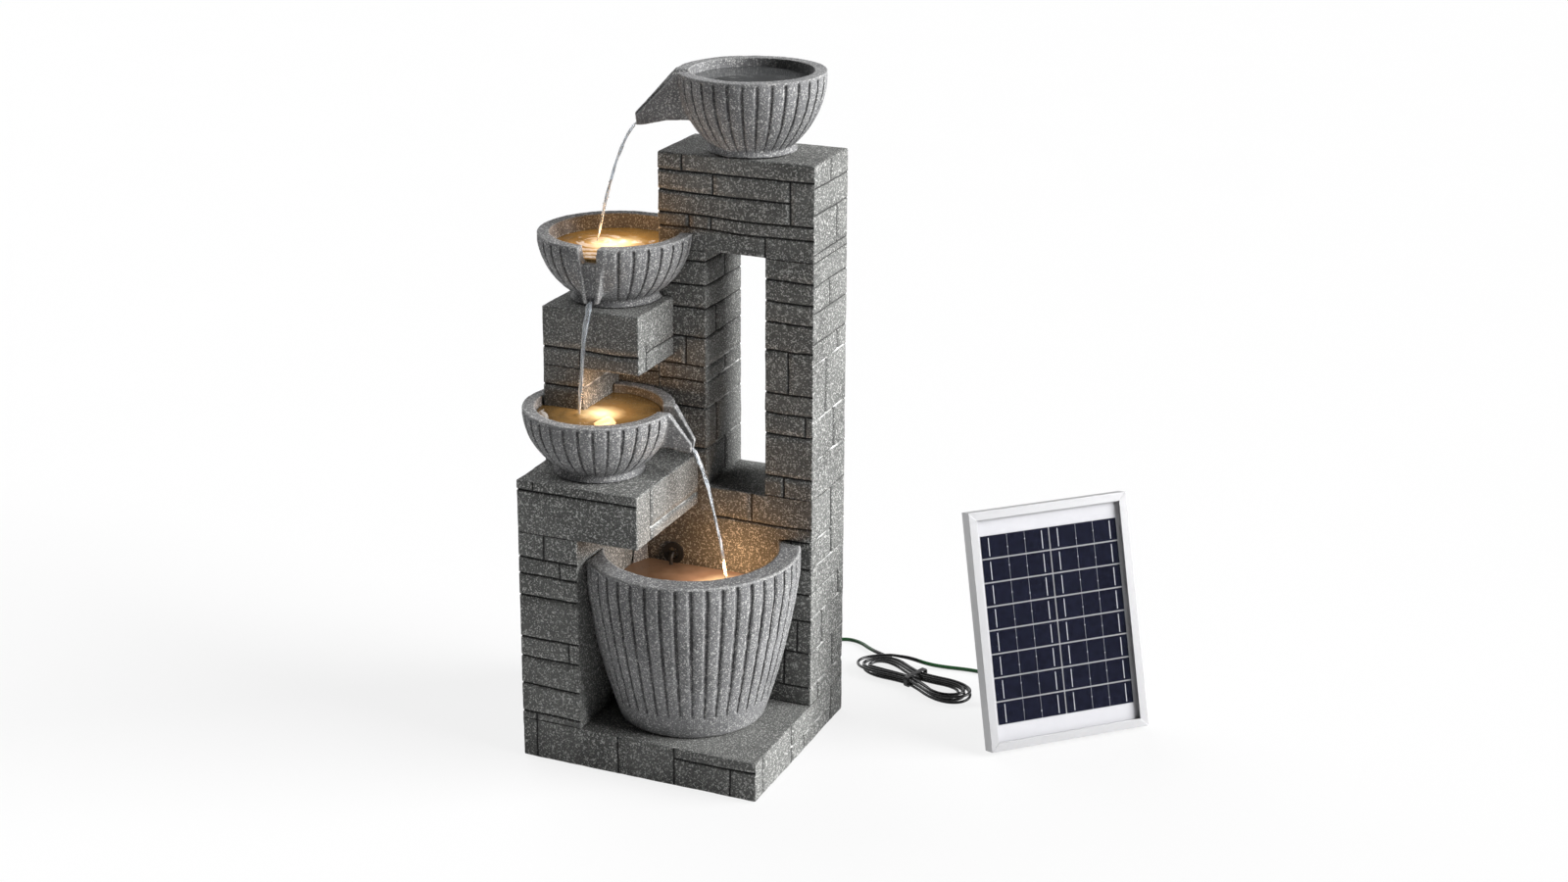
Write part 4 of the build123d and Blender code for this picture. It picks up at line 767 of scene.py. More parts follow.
class FOUNTAIN_OT_bowls(bpy.types.Operator):
    """Build the fluted bowls and the basin"""

    bl_idname = "fountain.bowls"
    bl_label = "Bowls"

    def execute(self, context):
        settings = context.scene.fountain_stone
        for name, (axis, span, heading, count, spout, grain) in BOWLS.items():
            mesh = remeshed(name, grain * settings.voxel, 2)
            weather(mesh)
            mark_cavity(mesh)
            mark_outer(mesh, axis, span, heading, count, spout)
            mesh.shade_smooth()
            look = stone(f"{name}_look", tuple(settings.bowl), tuple(settings.fleck), (axis, heading, count))
            place(f"{name}_stone", mesh, look, (name,))
        return {"FINISHED"}


# Water

POOLS = {
    # name: centre, level, radius, light, where the stream lands, blocked corner, ripple height
    "top_water": (TOP, 709.5, 63, None, (30, 66), None, 0.15),
    "second_water": (SECOND, 537.5, 65.2, SECOND, (-101, 9), (38.7, 18.7, 1, 1), 0.9),
    "third_water": (THIRD, 374, 64.2, (-66, -58), (-85, -71), (15.7, 5.7, -1, 1), 0.9),
    "basin_water": (BASIN, 184, 88, (52, -14), (63, -26), None, 0.8),
}
# how far the flat walls at the pot's left and back are from its middle
POT_PLANES = (84, 49.7)
# the third pool is spun from a point in front of its middle, which sees all of it past the column's corner
SPUN_FROM = {"third_water": (0, -8)}
POOL_RINGS, POOL_SPOKES = 46, 120
# the ripples' radians per mm, and how far in mm they run before they fade
RIPPLE_TURN, RIPPLE_FADE = 0.42, 26
LIT = {
    # name: reach of the light in pool radii, how dim the far water is, colour of the lit water
    "second_water": (1.25, 0.6, (0.57, 0.3, 0.075)),
    "third_water": (1.0, 0.55, (0.38, 0.218, 0.07)),
    "basin_water": (0.95, 0.4, (0.62, 0.34, 0.19)),
}
WATER_IOR = 1.33


def pool_reach(name, angle):
    """How far a pool runs in one direction from where it is spun, in mm."""
    _, _, radius, _, _, corner, _ = POOLS[name]
    x, y = math.cos(angle), math.sin(angle)
    shift = Vector(SPUN_FROM.get(name, (0, 0)))
    ahead = shift.dot((x, y))
    radius = math.sqrt(ahead * ahead + radius * radius - shift.length_squared) - ahead
    if name == "basin_water":
        if x < 0:
            radius = min(radius, POT_PLANES[0] / -x)
        if y > 0:
            radius = min(radius, POT_PLANES[1] / y)
    elif corner:
        across, along, sign_x, sign_y = corner
        enter_x = across / (sign_x * x) if sign_x * x > 1e-6 else math.inf
        enter_y = along / (sign_y * y) if sign_y * y > 1e-6 else math.inf
        radius = min(radius, max(enter_x, enter_y))
    return radius


def pool_mesh(name):
    """A round sheet of water with rings running out from where the stream lands."""
    centre, level, _, _, landing, _, height = POOLS[name]
    bm = bmesh.new()
    row = [bm.verts.new((ring / POOL_RINGS, 0, 0)) for ring in range(POOL_RINGS + 1)]
    edges = [bm.edges.new(pair) for pair in zip(row, row[1:])]
    bmesh.ops.spin(
        bm, geom=row + edges, axis=(0, 0, 1), angle=2 * math.pi, steps=POOL_SPOKES, use_merge=True
    )
    bmesh.ops.remove_doubles(bm, verts=bm.verts, dist=1e-5)
    middle = Vector(centre) + Vector(SPUN_FROM.get(name, (0, 0)))
    for vert in bm.verts:
        flat = vert.co.xy * pool_reach(name, math.atan2(vert.co.y, vert.co.x)) + middle
        away = (flat - Vector(landing)).length
        swell = height * math.cos(RIPPLE_TURN * away) * math.exp(-away / RIPPLE_FADE)
        lumps = 0.5 * height * noise.noise(Vector((flat.x * 0.06, flat.y * 0.06, level)))
        vert.co = Vector((flat.x, flat.y, level + swell + lumps)) * MM
    bm.normal_update()
    bmesh.ops.reverse_faces(bm, faces=[face for face in bm.faces if face.normal.z < 0])
    return to_mesh(bm, name)


def lit_water(name, light, level, settings, reach, share, amber):
    """Glossy water with a painted amber glow and a painted hot spot over its light."""
    s = Shader(name)
    away = s.distance((light[0] * MM, light[1] * MM, level * MM))
    wander = s.math("MULTIPLY", s.math("SUBTRACT", s.noise(38, 2.0), 0.5), 0.6 * reach)
    # a painted hot spot over the light and painted warm light round it, dimmer further away
    hot = s.ramp(s.math("ADD", away, s.math("MULTIPLY", wander, 0.3)), 0.42 * reach, 0.06 * reach)
    warm = s.ramp(s.math("ADD", away, wander), reach, 0.3 * reach)
    colour = s.mix(warm, toned(amber, share), amber)
    colour = s.mix(hot, colour, tuple(settings.hot))
    # strength of the painted glow, highest in the hot spot
    glow = s.math("ADD", s.ramp(warm, 0, 1, 0.35, 1), s.math("MULTIPLY", hot, 1.2))
    return s.set(
        base_color=s.mix(0.7, colour, (0.02, 0.015, 0.01)),
        roughness=0.06,
        ior=WATER_IOR,
        normal=s.bump(s.noise(120, 2.0), 0.25, 0.002),
        emission_color=colour,
        emission_strength=s.math("MULTIPLY", glow, settings.glow),
    )


def dark_water():
    """Still water that shows the grey stone under it."""
    s = Shader("still_water")
    depth = s.noise(30, 2.0)
    colour = s.mix(s.ramp(depth, 0.3, 0.7), (0.05, 0.052, 0.053), (0.085, 0.087, 0.088))
    normal = s.bump(s.noise(80, 2.0), 0.15, 0.002)
    return s.set(base_color=colour, roughness=0.08, ior=WATER_IOR, normal=normal)


def falling_water():
    """Clear water with white streaks down its length."""
    s = Shader("falling_water")
    streak = s.node("ShaderNodeMapping")
    s.feed(streak.inputs["Vector"], s.coords)
    streak.inputs["Scale"].default_value = (260, 260, 26)
    foam = s.ramp(s.noise(1.0, 3.0, 0.6, streak.outputs["Vector"]), 0.45, 0.72)
    colour = s.mix(foam, (0.8, 0.84, 0.88), (1.0, 1.0, 1.0))
    return s.set(
        base_color=colour,
        roughness=s.ramp(foam, 0, 1, 0.04, 0.35),
        ior=WATER_IOR,
        transmission_weight=s.ramp(foam, 0, 1, 0.92, 0.25),
        normal=s.bump(foam, 0.3, 0.001),
    )


STREAMS = {
    # name: start, outward way, landing, half width at the top and at the foot, in mm
    "top_stream": ((-59, 20, 666), (-13, -6.5), (-102, 8.6, 536), 4.6, 2.2),
    "second_stream": ((-72.5, -65, 496), (-1, -7), (-85, -71, 373.5), 3.6, 2.0),
    "third_stream": ((26, -35, 342), (14, 3), (63, -26, 184), 4.4, 2.0),
}
# each strand of a stream: how far off the middle it winds, share of the width, start and end of its fall
STRANDS = ((0.0, 1.0, 0.0, 1.0), (0.85, 0.42, 0.0, 0.72), (-0.8, 0.34, 0.08, 1.0))
STRAND_RINGS, STRAND_FACETS = 64, 10
# shares of a fall that grow with the time and with its square
FALL_PUSH, FALL_PULL = 0.32, 0.68
BULGE, SWAY = 0.34, 0.9
# drops beside a stream: how many, where along the fall they start, over what share of it, and their drift in mm
DROPS, DROPS_START, DROPS_SPAN, DROP_DRIFT = 16, 0.45, 0.53, 7


def stream_mesh(name):
    """A falling stream: a few strands that bulge, thin out and wind about each other, and drops."""
    start, way, landing, top, foot = STREAMS[name]
    start, landing = Vector(start), Vector(landing)
    out = Vector((*way, 0)).normalized()
    side = Vector((-out.y, out.x, 0))
    bm = bmesh.new()
    seed = sum(ord(c) for c in name) * 0.37

    def middle(t):
        """Where the stream's middle is after a share of its fall: level travel is even in time."""
        along = start.xy.lerp(landing.xy, t)
        drop = (landing.z - start.z) * (FALL_PUSH * t + FALL_PULL * t * t)
        return Vector((along.x, along.y, start.z + drop))

    def ring(strand, n):
        """The edges of one ring of a strand."""
        offset, share, begin, end = STRANDS[strand]
        done = n / STRAND_RINGS
        t = begin + (end - begin) * n / STRAND_RINGS
        width = (top + (foot - top) * min(1.0, 1.5 * t)) * share
        bulge = 1 + BULGE * noise.noise(Vector((seed + strand * 9, t * 9, 0)))
        turn = offset * math.cos(t * 5.0 + strand)
        sway = SWAY * noise.noise(Vector((t * 6, seed, strand)))
        centre = middle(t) + side * (turn * top * (1 - 0.4 * t)) + out * sway
        taper = min(1.0, 8 * done + 0.35, 8 * (1 - done) + 0.3)
        size = width * bulge * taper * MM
        thick = size * (0.42 + 0.4 * t)
        spot = Matrix((side * size, out * thick, Vector((0, 0, 1)))).transposed().to_4x4()
        spot.translation = centre * MM
        ended = n in (0, STRAND_RINGS)
        verts = bmesh.ops.create_circle(
            bm, cap_ends=ended, segments=STRAND_FACETS, radius=1, matrix=spot
        )["verts"]
        return list(dict.fromkeys(edge for vert in verts for edge in vert.link_edges))

    for strand in range(len(STRANDS)):
        before = ring(strand, 0)
        for n in range(1, STRAND_RINGS + 1):
            edges = ring(strand, n)
            bmesh.ops.bridge_loops(bm, edges=before + edges)
            before = edges
    for drop in range(DROPS):
        drift = noise.noise_vector(Vector((seed, drop * 1.7, 3.1))) * DROP_DRIFT
        centre = middle(DROPS_START + DROPS_SPAN * drop / DROPS)
        centre += side * drift.x + out * drift.y * 0.6
        size = 0.6 + 0.8 * abs(drift.z) / DROP_DRIFT
        made = bmesh.ops.create_icosphere(bm, subdivisions=1, radius=size * MM)
        bmesh.ops.translate(bm, verts=made["verts"], vec=centre * MM)
    bmesh.ops.recalc_face_normals(bm, faces=bm.faces)
    return to_mesh(bm, name)


class FOUNTAIN_OT_water(bpy.types.Operator):
    """Fill the bowls and let the streams fall"""

    bl_idname = "fountain.water"
    bl_label = "Water"

    def execute(self, context):
        settings = context.scene.fountain_water
        still = dark_water()
        for name, (_, level, radius, light, *_) in POOLS.items():
            if light is None:
                material = still
            else:
                wide, share, amber = LIT[name]
                reach = wide * radius * MM
                material = lit_water(f"{name}_look", light, level, settings, reach, share, amber)
            place(name, pool_mesh(name), material)
        clear = falling_water()
        for name in STREAMS:
            place(name, stream_mesh(name), clear)
        return {"FINISHED"}


# Solar panel

PANEL_FRAME = ("panel_frame_bottom", "panel_frame_right", "panel_frame_top", "panel_frame_left")
# the panel's heading and lean, and its lower corner and its frame's depth in metres
PANEL_HEADING, PANEL_LEAN = math.radians(44), math.radians(17)
PANEL_CORNER, FRAME_DEPTH = (0.324, 0.075), 0.017
FRAME_BEVEL = 0.00025
BROAD_LINE, THIN_LINE = 0.0009, 0.00022
# each line on a cell: its place across the cell, its width, and its lower and upper ends up the cell
CELL_LINES = (
    (0.115, BROAD_LINE, 0.08, 0.9),
    (0.385, THIN_LINE, 0.0, 1.0),
    (0.645, THIN_LINE, 0.0, 1.0),
    (0.9, BROAD_LINE, 0.08, 0.9),
)
# a solder dot on each thin line, and how far the lines lie above the cells
DOT_WIDE, DOT_TALL, LINE_LIFT = 0.001, 0.0012, 0.00004


def panel_axes():
    """The panel's corner, its bottom edge's way, its face's way up and its outward way."""
    along = Vector((math.cos(PANEL_HEADING), math.sin(PANEL_HEADING), 0))
    level = math.cos(PANEL_LEAN)
    out = Vector((along.y * level, -along.x * level, math.sin(PANEL_LEAN)))
    return Vector((*PANEL_CORNER, FRAME_DEPTH * math.sin(PANEL_LEAN))), along, out.cross(along), out


def strip(bm, axes, xs, ys, top):
    """A flat strip on the panel, given in the panel's own frame."""
    origin, along, up, out = axes
    wide, tall = (xs[1] - xs[0]) / 2, (ys[1] - ys[0]) / 2
    spot = Matrix((along * wide, up * tall, out)).transposed().to_4x4()
    spot.translation = origin + along * (xs[0] + wide) + up * (ys[0] + tall) + out * top
    bmesh.ops.create_grid(bm, x_segments=1, y_segments=1, size=1, matrix=spot)


def islands(bm):
    """The places of the points of each loose part of a bmesh, in the order of its points."""
    found, seen = [], set()
    for first in bm.verts:
        if first in seen:
            continue
        seen.add(first)
        stack, island = [first], []
        while stack:
            vert = stack.pop()
            island.append(vert.co.copy())
            for edge in vert.link_edges:
                other = edge.other_vert(vert)
                if other not in seen:
                    seen.add(other)
                    stack.append(other)
        found.append(island)
    return found


class FOUNTAIN_OT_panel(bpy.types.Operator):
    """Build the solar panel's frame, laminate and cell lines"""

    bl_idname = "fountain.panel"
    bl_label = "Solar panel"

    def execute(self, context):
        settings = context.scene.fountain_panel
        metal = finish("anodised", tuple(settings.metal), 0.38, 0.55, 900, 0.04)
        for name in PANEL_FRAME + ("stand_rail",):
            bm = merged(name)
            sharp = [e for e in bm.edges if len(e.link_faces) == 2 and e.calc_face_angle() > 0.6]
            bmesh.ops.bevel(
                bm, geom=sharp, offset=FRAME_BEVEL, segments=2, profile=0.5, affect="EDGES", material=-1
            )
            place(f"{name}_metal", to_mesh(bm, name, False), metal, (name,))
        dress("panel_backsheet", self.back_sheet(settings))
        dress("solar_cells", self.silicon(settings))
        dress("panel_glass", self.glass())
        lines = finish("cell_lines", (0.42, 0.43, 0.47), 0.4, 0.3, 700, 0.1)
        place("cell_lines", self.cell_lines(), lines)
        return {"FINISHED"}

    def silicon(self, settings):
        """Near-black cells with a faint flake."""
        s = Shader("silicon")
        flakes = s.node("ShaderNodeTexVoronoi")
        s.feed(flakes.inputs["Vector"], s.coords)
        flakes.inputs["Scale"].default_value = 160
        tone = s.ramp(flakes.outputs["Distance"], 0.1, 0.8)
        cell = tuple(settings.cell)
        return s.set(
            base_color=s.mix(tone, toned(cell, 0.8), toned(cell, 1.3)),
            roughness=s.ramp(tone, 0, 1, 0.4, 0.55),
            specular_ior_level=0.02,
        )

    def glass(self):
        """Clear glass with a faint smear."""
        s = Shader("panel_glass")
        return s.set(
            base_color=s.mix(s.noise(20), (0.02, 0.022, 0.03), (0.03, 0.032, 0.04)),
            roughness=s.ramp(s.noise(9, 3.0), 0.3, 0.7, 0.03, 0.09),
            alpha=0.04,
        )

    def back_sheet(self, settings):
        """Pale sheet, greyer in the narrow gaps between the cells."""
        origin, along, up, out = panel_axes()
        spots = [vert.co - origin for vert in NODES["solar_cells"].data.vertices]
        xs, ys = ([spot.dot(way) for spot in spots] for way in (along, up))
        s = Shader("back_sheet")
        field = s.node("ShaderNodeMapping", vector_type="TEXTURE")
        s.feed(field.inputs["Vector"], s.coords)
        middle = along * ((min(xs) + max(xs)) / 2) + up * ((min(ys) + max(ys)) / 2)
        field.inputs["Location"].default_value = origin + middle
        field.inputs["Rotation"].default_value = Matrix((along, up, out)).transposed().to_euler()
        field.inputs["Scale"].default_value = ((max(xs) - min(xs)) / 2, (max(ys) - min(ys)) / 2, 1)
        gaps = s.ramp(s.off_middle(field.outputs[0]), 1.01, 0.99)
        grain = s.ramp(s.noise(200, 3.0, 0.6), 0.3, 0.7)
        pale = tuple(settings.sheet)
        tone = s.mix(grain, toned(pale, 0.97), toned(pale, 1.03))
        return s.set(
            base_color=s.mix(gaps, tone, toned(pale, 0.5)), roughness=s.ramp(grain, 0, 1, 0.4, 0.5)
        )

    def cell_lines(self):
        """The silver lines on each cell: two broad ones near its ends and two thin ones between."""
        cells = merged("solar_cells")
        axes = origin, along, up, out = panel_axes()
        bm = bmesh.new()
        for number, island in enumerate(islands(cells)):
            xs = [(p - origin).dot(along) for p in island]
            ys = [(p - origin).dot(up) for p in island]
            top = max((p - origin).dot(out) for p in island) + LINE_LIFT
            wide, tall = max(xs) - min(xs), max(ys) - min(ys)
            for share, width, low, high in CELL_LINES:
                x = min(xs) + share * wide
                ends = (min(ys) + low * tall, min(ys) + high * tall)
                strip(bm, axes, (x - width / 2, x + width / 2), ends, top)
                if width == THIN_LINE:
                    dot = min(ys) + (0.3 + 0.4 * ((number * 7 + int(share * 10)) % 5) / 5) * tall
                    strip(bm, axes, (x - DOT_WIDE / 2, x + DOT_WIDE / 2), (dot, dot + DOT_TALL), top)
        cells.free()
        return to_mesh(bm, "cell_lines", False)


# Cord

# the free stretches' points, in mm
TOWER_ROUTE = (
    (50, 136, 72), (50, 151, 72), (50.5, 169, 63), (51.5, 188, 47), (52, 206, 27), (52, 224, 11),
    (51, 243, 3.3), (53, 263, 2.3), (60, 281, 2.3), (75, 291, 2.3), (93, 287, 2.5), (110, 273, 2.9),
)
PANEL_ROUTE = (
    (186, 258, 4.5), (207, 263, 2.3), (230, 267, 2.3), (254, 267, 2.3), (276, 258, 2.3),
    (294, 242, 2.3), (311, 224, 2.3), (329, 206, 2.3), (346, 190, 4), (359, 177, 12),
)
# the cord's end in the gland, along, up and out of the panel, and the straight stretch below it, in metres
GLAND, GLAND_LEAD = (0.094, 0.056, -0.0172), 0.022
# the hank: its middle and turn, half the straight runs' length, the outermost run's distance from the
# middle line, the step from turn to turn, how far the tie draws the runs in, and its layers' heights, in mm
HANK_MIDDLE = Vector((186, 214, 0))
HANK_TURN = math.radians(-20)
HANK_LOBE = 46
HANK_OUT = 26
HANK_STEP = 5.6
HANK_DRAW = 10.5
LAYERS = (3.9, 9.0)
# how far the outermost turn's ends reach out, and how each layer's ends lean to a side and droop
HANK_SPREAD = 6.5
HANK_LEAN = {LAYERS[0]: (-3.0, 0.0), LAYERS[1]: (6.5, 1.6)}
# half the length and half the width of the black part
HANK_HALF = (84, 36)
# points along a run, and the first, last and step of the angles round an end, in degrees
RUN_SHARES = (0.1, 0.3, 0.5, 0.7, 0.9)
LOBE_FIRST, LOBE_LAST, LOBE_STEP = 75, -75, -30
# where the cord leaves the hank: the last end is cut short, and a tail of two straight stretches turns off it
SHORT_LAST, TAIL_TURN, TAIL = -45, math.radians(23), (4.4, 22.4)


def on_hank(along, across, level):
    """A point of the hank's own frame, in mm."""
    c, s = math.cos(HANK_TURN), math.sin(HANK_TURN)
    return HANK_MIDDLE + Vector((along * c - across * s, along * s + across * c, level))


def hank_route(loops):
    """The hank's points: in on the lower layer, up along a run and out on the upper one."""
    points = []

    def run(reach, way, begin, end):
        """A straight run, drawn in by the tie, that may rise to the next layer."""
        for t in RUN_SHARES:
            draw = HANK_DRAW * 0.5 * (1 - math.cos(2 * math.pi * t))
            level = begin + (end - begin) * t
            points.append(on_hank(way * HANK_LOBE * (2 * t - 1), way * (reach - draw), level))

    def lobe(begin, finish, way, level, last=LOBE_LAST):
        """A round end between two runs."""
        middle, radius = way * (begin - finish) / 2, (begin + finish) / 2
        spread = HANK_SPREAD * (radius - HANK_OUT + loops * HANK_STEP) / (loops * HANK_STEP)
        lean, droop = HANK_LEAN[level]
        for angle in range(LOBE_FIRST, last - 1, LOBE_STEP):
            a = math.radians(angle)
            points.append(on_hank(
                way * (HANK_LOBE + (radius + spread) * math.cos(a)),
                middle + way * (radius * math.sin(a) + lean * math.cos(a)),
                level - droop * math.cos(a),
            ))

    reach, half = HANK_OUT, HANK_STEP / 2
    lower, upper = LAYERS
    points += [on_hank(-HANK_LOBE - ahead, reach, lower) for ahead in reversed(TAIL)]
    for loop in range(loops):
        inmost = loop == loops - 1
        run(reach, 1, lower, lower)
        lobe(reach, reach - half, 1, lower)
        reach -= half
        run(reach, -1, lower, upper if inmost else lower)
        if not inmost:
            lobe(reach, reach - half, -1, lower)
            reach -= half
    for loop in range(loops - 1):
        lobe(reach, reach + half, -1, upper)
        reach += half
        run(reach, 1, upper, upper)
        lobe(reach, reach + half, 1, upper)
        reach += half
        run(reach, -1, upper, upper)
    lobe(reach, reach + half, -1, upper, SHORT_LAST)
    radius = reach + half / 2
    leave = (-HANK_LOBE - radius * math.sin(TAIL_TURN), half / 2 + radius * math.cos(TAIL_TURN))
    for ahead in (0.0, *TAIL):
        along = leave[0] + ahead * math.cos(TAIL_TURN)
        points.append(on_hank(along, leave[1] + ahead * math.sin(TAIL_TURN), upper))
    return points


def cord_sheath(settings):
    """Scuffed plastic, black in the hank and green off it."""
    s = Shader("cord_sheath")
    turned = s.node("ShaderNodeMapping", vector_type="TEXTURE")
    s.feed(turned.inputs["Vector"], s.coords)
    turned.inputs["Location"].default_value = HANK_MIDDLE * MM
    turned.inputs["Rotation"].default_value = (0, 0, HANK_TURN)
    turned.inputs["Scale"].default_value = (HANK_HALF[0] * MM, HANK_HALF[1] * MM, 1)
    off = s.ramp(s.off_middle(turned.outputs[0]), 0.97, 1.08)
    scuff = s.noise(260, 3.0)
    colour = s.mix(off, tuple(settings.hank), tuple(settings.free))
    colour = s.mix(s.ramp(scuff, 0.5, 0.8, 0, 0.15), colour, (0.05, 0.055, 0.05))
    return s.set(base_color=colour, roughness=s.ramp(scuff, 0.3, 0.7, 0.25, 0.4))


class FOUNTAIN_OT_cord(bpy.types.Operator):
    """Lay the cord from the tower, through its hank, to the panel"""

    bl_idname = "fountain.cord"
    bl_label = "Cord"

    def execute(self, context):
        settings = context.scene.fountain_cord
        origin, along, up, out = panel_axes()
        gland = origin + along * GLAND[0] + up * GLAND[1] + out * GLAND[2]
        hank = hank_route(settings.loops)
        route = [Vector(p) * MM for p in (*TOWER_ROUTE, *hank, *PANEL_ROUTE)]
        route += [gland - up * GLAND_LEAD, gland]
        curve = bpy.data.curves.new("cord", "CURVE")
        curve.dimensions = "3D"
        curve.resolution_u = 6
        curve.bevel_depth = settings.diameter / 2
        curve.bevel_resolution = 3
        curve.use_fill_caps = True
        spline = curve.splines.new("NURBS")
        spline.points.add(len(route) - 1)
        for number, (point, spot) in enumerate(zip(spline.points, route)):
            point.co = (*spot, 1)
            if 0 < number - len(TOWER_ROUTE) < len(hank) - 1:
                point.radius = settings.slim
        spline.order_u = 3
        spline.use_endpoint_u = True
        cord = bpy.data.objects.new("cord", curve)
        context.scene.collection.objects.link(cord)
        curve.materials.append(cord_sheath(settings))
        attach(cord, ROOT)
        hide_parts("cord_tower_run", "cord_hank", "cord_panel_run")
        return {"FINISHED"}


# Fittings: the pieces that keep their CAD shape

FITTINGS = {
    # finish: colour, roughness, metallic, CAD nodes
    "hatch_look": ((0.05, 0.05, 0.052), 0.6, 0.0, ("rear_hatch",)),
    "black_plastic": (
        (0.018, 0.018, 0.019), 0.4, 0.0,
        (
            "pump_body", "pump_inlet_cover", "flow_dial", "lead_junction", "tower_gland", "panel_gland",
            "outlet_nozzle", "second_light_housing", "third_light_housing", "basin_light_housing", "hank_tie",
        ),
    ),
    "rotor_look": ((0.12, 0.12, 0.13), 0.4, 0.0, ("pump_rotor",)),
    "black_rubber": ((0.012, 0.012, 0.012), 0.7, 0.0, ("cable_grommet", "pump_feet", "leg_tips")),
    "hose_look": ((0.03, 0.03, 0.03), 0.45, 0.0, ("riser_hose",)),
    "lead_look": (
        (0.02, 0.02, 0.02), 0.5, 0.0,
        ("second_light_lead", "third_light_lead", "basin_light_lead", "pump_lead"),
    ),
    "box_plastic": (
        (0.03, 0.03, 0.031), 0.45, 0.0, ("control_box", "control_box_lid", "hinge_clips"),
    ),
    "board_look": ((0.02, 0.14, 0.05), 0.4, 0.0, ("circuit_board",)),
    "button_look": ((0.2, 0.2, 0.21), 0.25, 0.0, ("power_button",)),
    "battery_look": ((0.05, 0.12, 0.35), 0.3, 0.0, ("batteries",)),
    "rod_steel": ((0.6, 0.61, 0.63), 0.28, 1.0, ("stand_leg",)),
}
LENSES = ("second_light_lens", "third_light_lens", "basin_light_lens")


class FOUNTAIN_OT_fittings(bpy.types.Operator):
    """Give the pump, hose, box, stand and lights their finishes"""

    bl_idname = "fountain.fittings"
    bl_label = "Fittings"

    def execute(self, context):
        for name, (colour, roughness, metallic, nodes) in FITTINGS.items():
            material = finish(name, colour, roughness, metallic)
            for node in nodes:
                dress(node, material)
        s = Shader("lamp_lens")
        shine = s.ramp(s.noise(200), 0.3, 0.7, 2.2, 3.2)
        warm = s.mix(s.noise(90), tuple(context.scene.fountain_water.hot), (1.0, 0.9, 0.65))
        lens = s.set(base_color=warm, roughness=0.2, emission_color=warm, emission_strength=shine)
        for node in LENSES:
            dress(node, lens)
        return {"FINISHED"}


# Stage

SUNS = {
    # name: direction that it shines from, strength, spread in degrees
    "key_sun": ((2.6, 0.58, 1.2), 8.0, 44),
    "fill_sun": ((-0.6, -2.2, 1.2), 0.06, 60),
    "back_sun": ((-2.1, 1.4, 1.6), 2.0, 60),
}
LAMPS = {
    # name: place in mm, share of a full lamp's power
    "second_glow": ((-80, 6, 552), 0.7),
    "third_glow": ((-62, -58, 388), 0.5),
    "basin_glow": ((52, -18, 206), 1.0),
}
LAMP_COLOUR, LAMP_RADIUS = (1.0, 0.56, 0.26), 0.012
WORLD_STRENGTH = 0.05
# half the floor's side and its drop below the plinth in metres, and how white it looks where it is seen
FLOOR_HALF, FLOOR_DROP, FLOOR_WHITE = 30, 0.0004, 0.82
# the camera that was fitted to the photograph: place in metres, tilt and heading in degrees, lens in mm, shift
CAMERA_PLACE = (1.0275, -2.1728, 1.1939)
CAMERA_TILT, CAMERA_HEADING = 72.8, 23.7
CAMERA_LENS, CAMERA_SHIFT = 55.95, (0.0229, -0.0674)


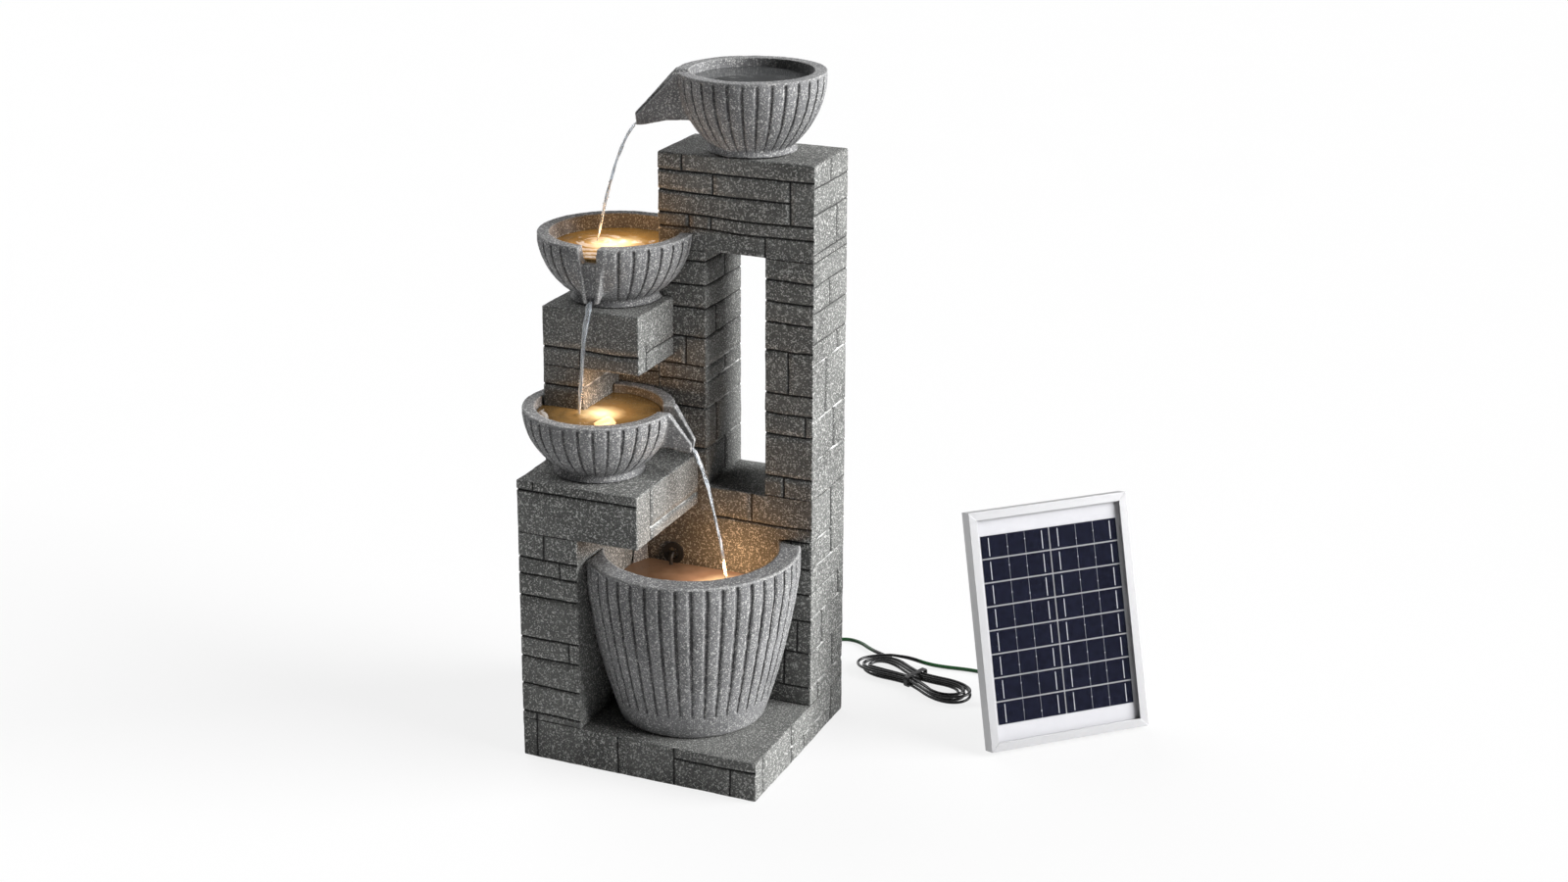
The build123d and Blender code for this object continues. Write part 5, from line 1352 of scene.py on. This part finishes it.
class FOUNTAIN_OT_stage(bpy.types.Operator):
    """Set the floor, the lights and the camera"""

    bl_idname = "fountain.stage"
    bl_label = "Stage"

    def execute(self, context):
        scene = context.scene
        self.floor(scene)
        scene.world = scene.world or bpy.data.worlds.new("studio")
        scene.world.use_nodes = True
        back = scene.world.node_tree.nodes["Background"]
        back.inputs["Color"].default_value = (1, 1, 1, 1)
        back.inputs["Strength"].default_value = WORLD_STRENGTH
        for name, (towards, strength, spread) in SUNS.items():
            light = bpy.data.lights.new(name, "SUN")
            light.energy = strength
            light.angle = math.radians(spread)
            sun = bpy.data.objects.new(name, light)
            sun.rotation_euler = Vector(towards).to_track_quat("Z", "Y").to_euler()
            scene.collection.objects.link(sun)
        for name, (spot, share) in LAMPS.items():
            light = bpy.data.lights.new(name, "POINT")
            light.energy = share * scene.fountain_water.lamp
            light.color = LAMP_COLOUR
            light.shadow_soft_size = LAMP_RADIUS
            lamp = bpy.data.objects.new(name, light)
            lamp.location = Vector(spot) * MM
            scene.collection.objects.link(lamp)
        self.camera(scene)
        scene.view_settings.view_transform = "Standard"
        return {"FINISHED"}

    def floor(self, scene):
        """Pale paper that keeps the shadows and looks nearly white."""
        bm = bmesh.new()
        bmesh.ops.create_grid(bm, x_segments=8, y_segments=8, size=FLOOR_HALF)
        bmesh.ops.translate(bm, verts=bm.verts, vec=(0, 0, -FLOOR_DROP))
        s = Shader("floor_paper")
        tone = s.mix(s.noise(3.0), (0.66, 0.66, 0.66), (0.69, 0.69, 0.69))
        paper = s.set(base_color=tone, roughness=0.9, specular_ior_level=0.1)
        path = s.node("ShaderNodeLightPath").outputs
        mirrored = s.math("MAXIMUM", path["Is Glossy Ray"], path["Is Transmission Ray"])
        seen = s.math("MAXIMUM", path["Is Camera Ray"], mirrored)
        blend = s.node("ShaderNodeMixShader")
        s.feed(blend.inputs[0], s.math("MULTIPLY", seen, FLOOR_WHITE))
        s.feed(blend.inputs[1], s.bsdf.outputs[0])
        s.feed(blend.inputs[2], s.node("ShaderNodeEmission").outputs[0])
        s.feed(s.tree.nodes["Material Output"].inputs["Surface"], blend.outputs[0])
        floor = bpy.data.objects.new("floor", to_mesh(bm, "floor"))
        floor.data.materials.append(paper)
        scene.collection.objects.link(floor)

    def camera(self, scene):
        """The photograph's viewing angle."""
        camera = bpy.data.cameras.new("photo_camera")
        camera.sensor_width = 36
        camera.lens = CAMERA_LENS
        camera.shift_x, camera.shift_y = CAMERA_SHIFT
        camera.clip_end = 100
        camera.dof.use_dof = False
        eye = bpy.data.objects.new("photo_camera", camera)
        eye.location = CAMERA_PLACE
        eye.rotation_euler = (math.radians(CAMERA_TILT), 0, math.radians(CAMERA_HEADING))
        scene.collection.objects.link(eye)
        scene.camera = eye


class FOUNTAIN_PT_build(bpy.types.Panel):
    """The fountain's build steps"""

    bl_idname = "FOUNTAIN_PT_build"
    bl_label = "Fountain"
    bl_space_type = "VIEW_3D"
    bl_region_type = "UI"
    bl_category = "Fountain"

    def draw(self, context):
        for step in STEPS:
            self.layout.operator(step.bl_idname)
        for name in SETTINGS:
            group = getattr(context.scene, name)
            for key in group.bl_rna.properties.keys():
                if key not in {"rna_type", "name"}:
                    self.layout.prop(group, key)


SETTINGS = {
    "fountain_stone": FountainStone,
    "fountain_water": FountainWater,
    "fountain_panel": FountainPanel,
    "fountain_cord": FountainCord,
}
STEPS = (
    FOUNTAIN_OT_stage,
    FOUNTAIN_OT_cord,
    FOUNTAIN_OT_castings,
    FOUNTAIN_OT_bowls,
    FOUNTAIN_OT_water,
    FOUNTAIN_OT_panel,
    FOUNTAIN_OT_fittings,
)


def register():
    for group in SETTINGS.values():
        bpy.utils.register_class(group)
    for name, group in SETTINGS.items():
        setattr(bpy.types.Scene, name, PointerProperty(type=group))
    for step in STEPS:
        bpy.utils.register_class(step)
    bpy.utils.register_class(FOUNTAIN_PT_build)


def unregister():
    bpy.utils.unregister_class(FOUNTAIN_PT_build)
    for step in reversed(STEPS):
        bpy.utils.unregister_class(step)
    for name, group in SETTINGS.items():
        delattr(bpy.types.Scene, name)
        bpy.utils.unregister_class(group)


# noise_vector takes its offset from the clock unless a seed is set
NOISE_SEED = 7


def main():
    register()
    noise.seed_set(NOISE_SEED)
    for step in STEPS:
        group, name = step.bl_idname.split(".")
        getattr(getattr(bpy.ops, group), name)()


if __name__ == "__main__":
    main()
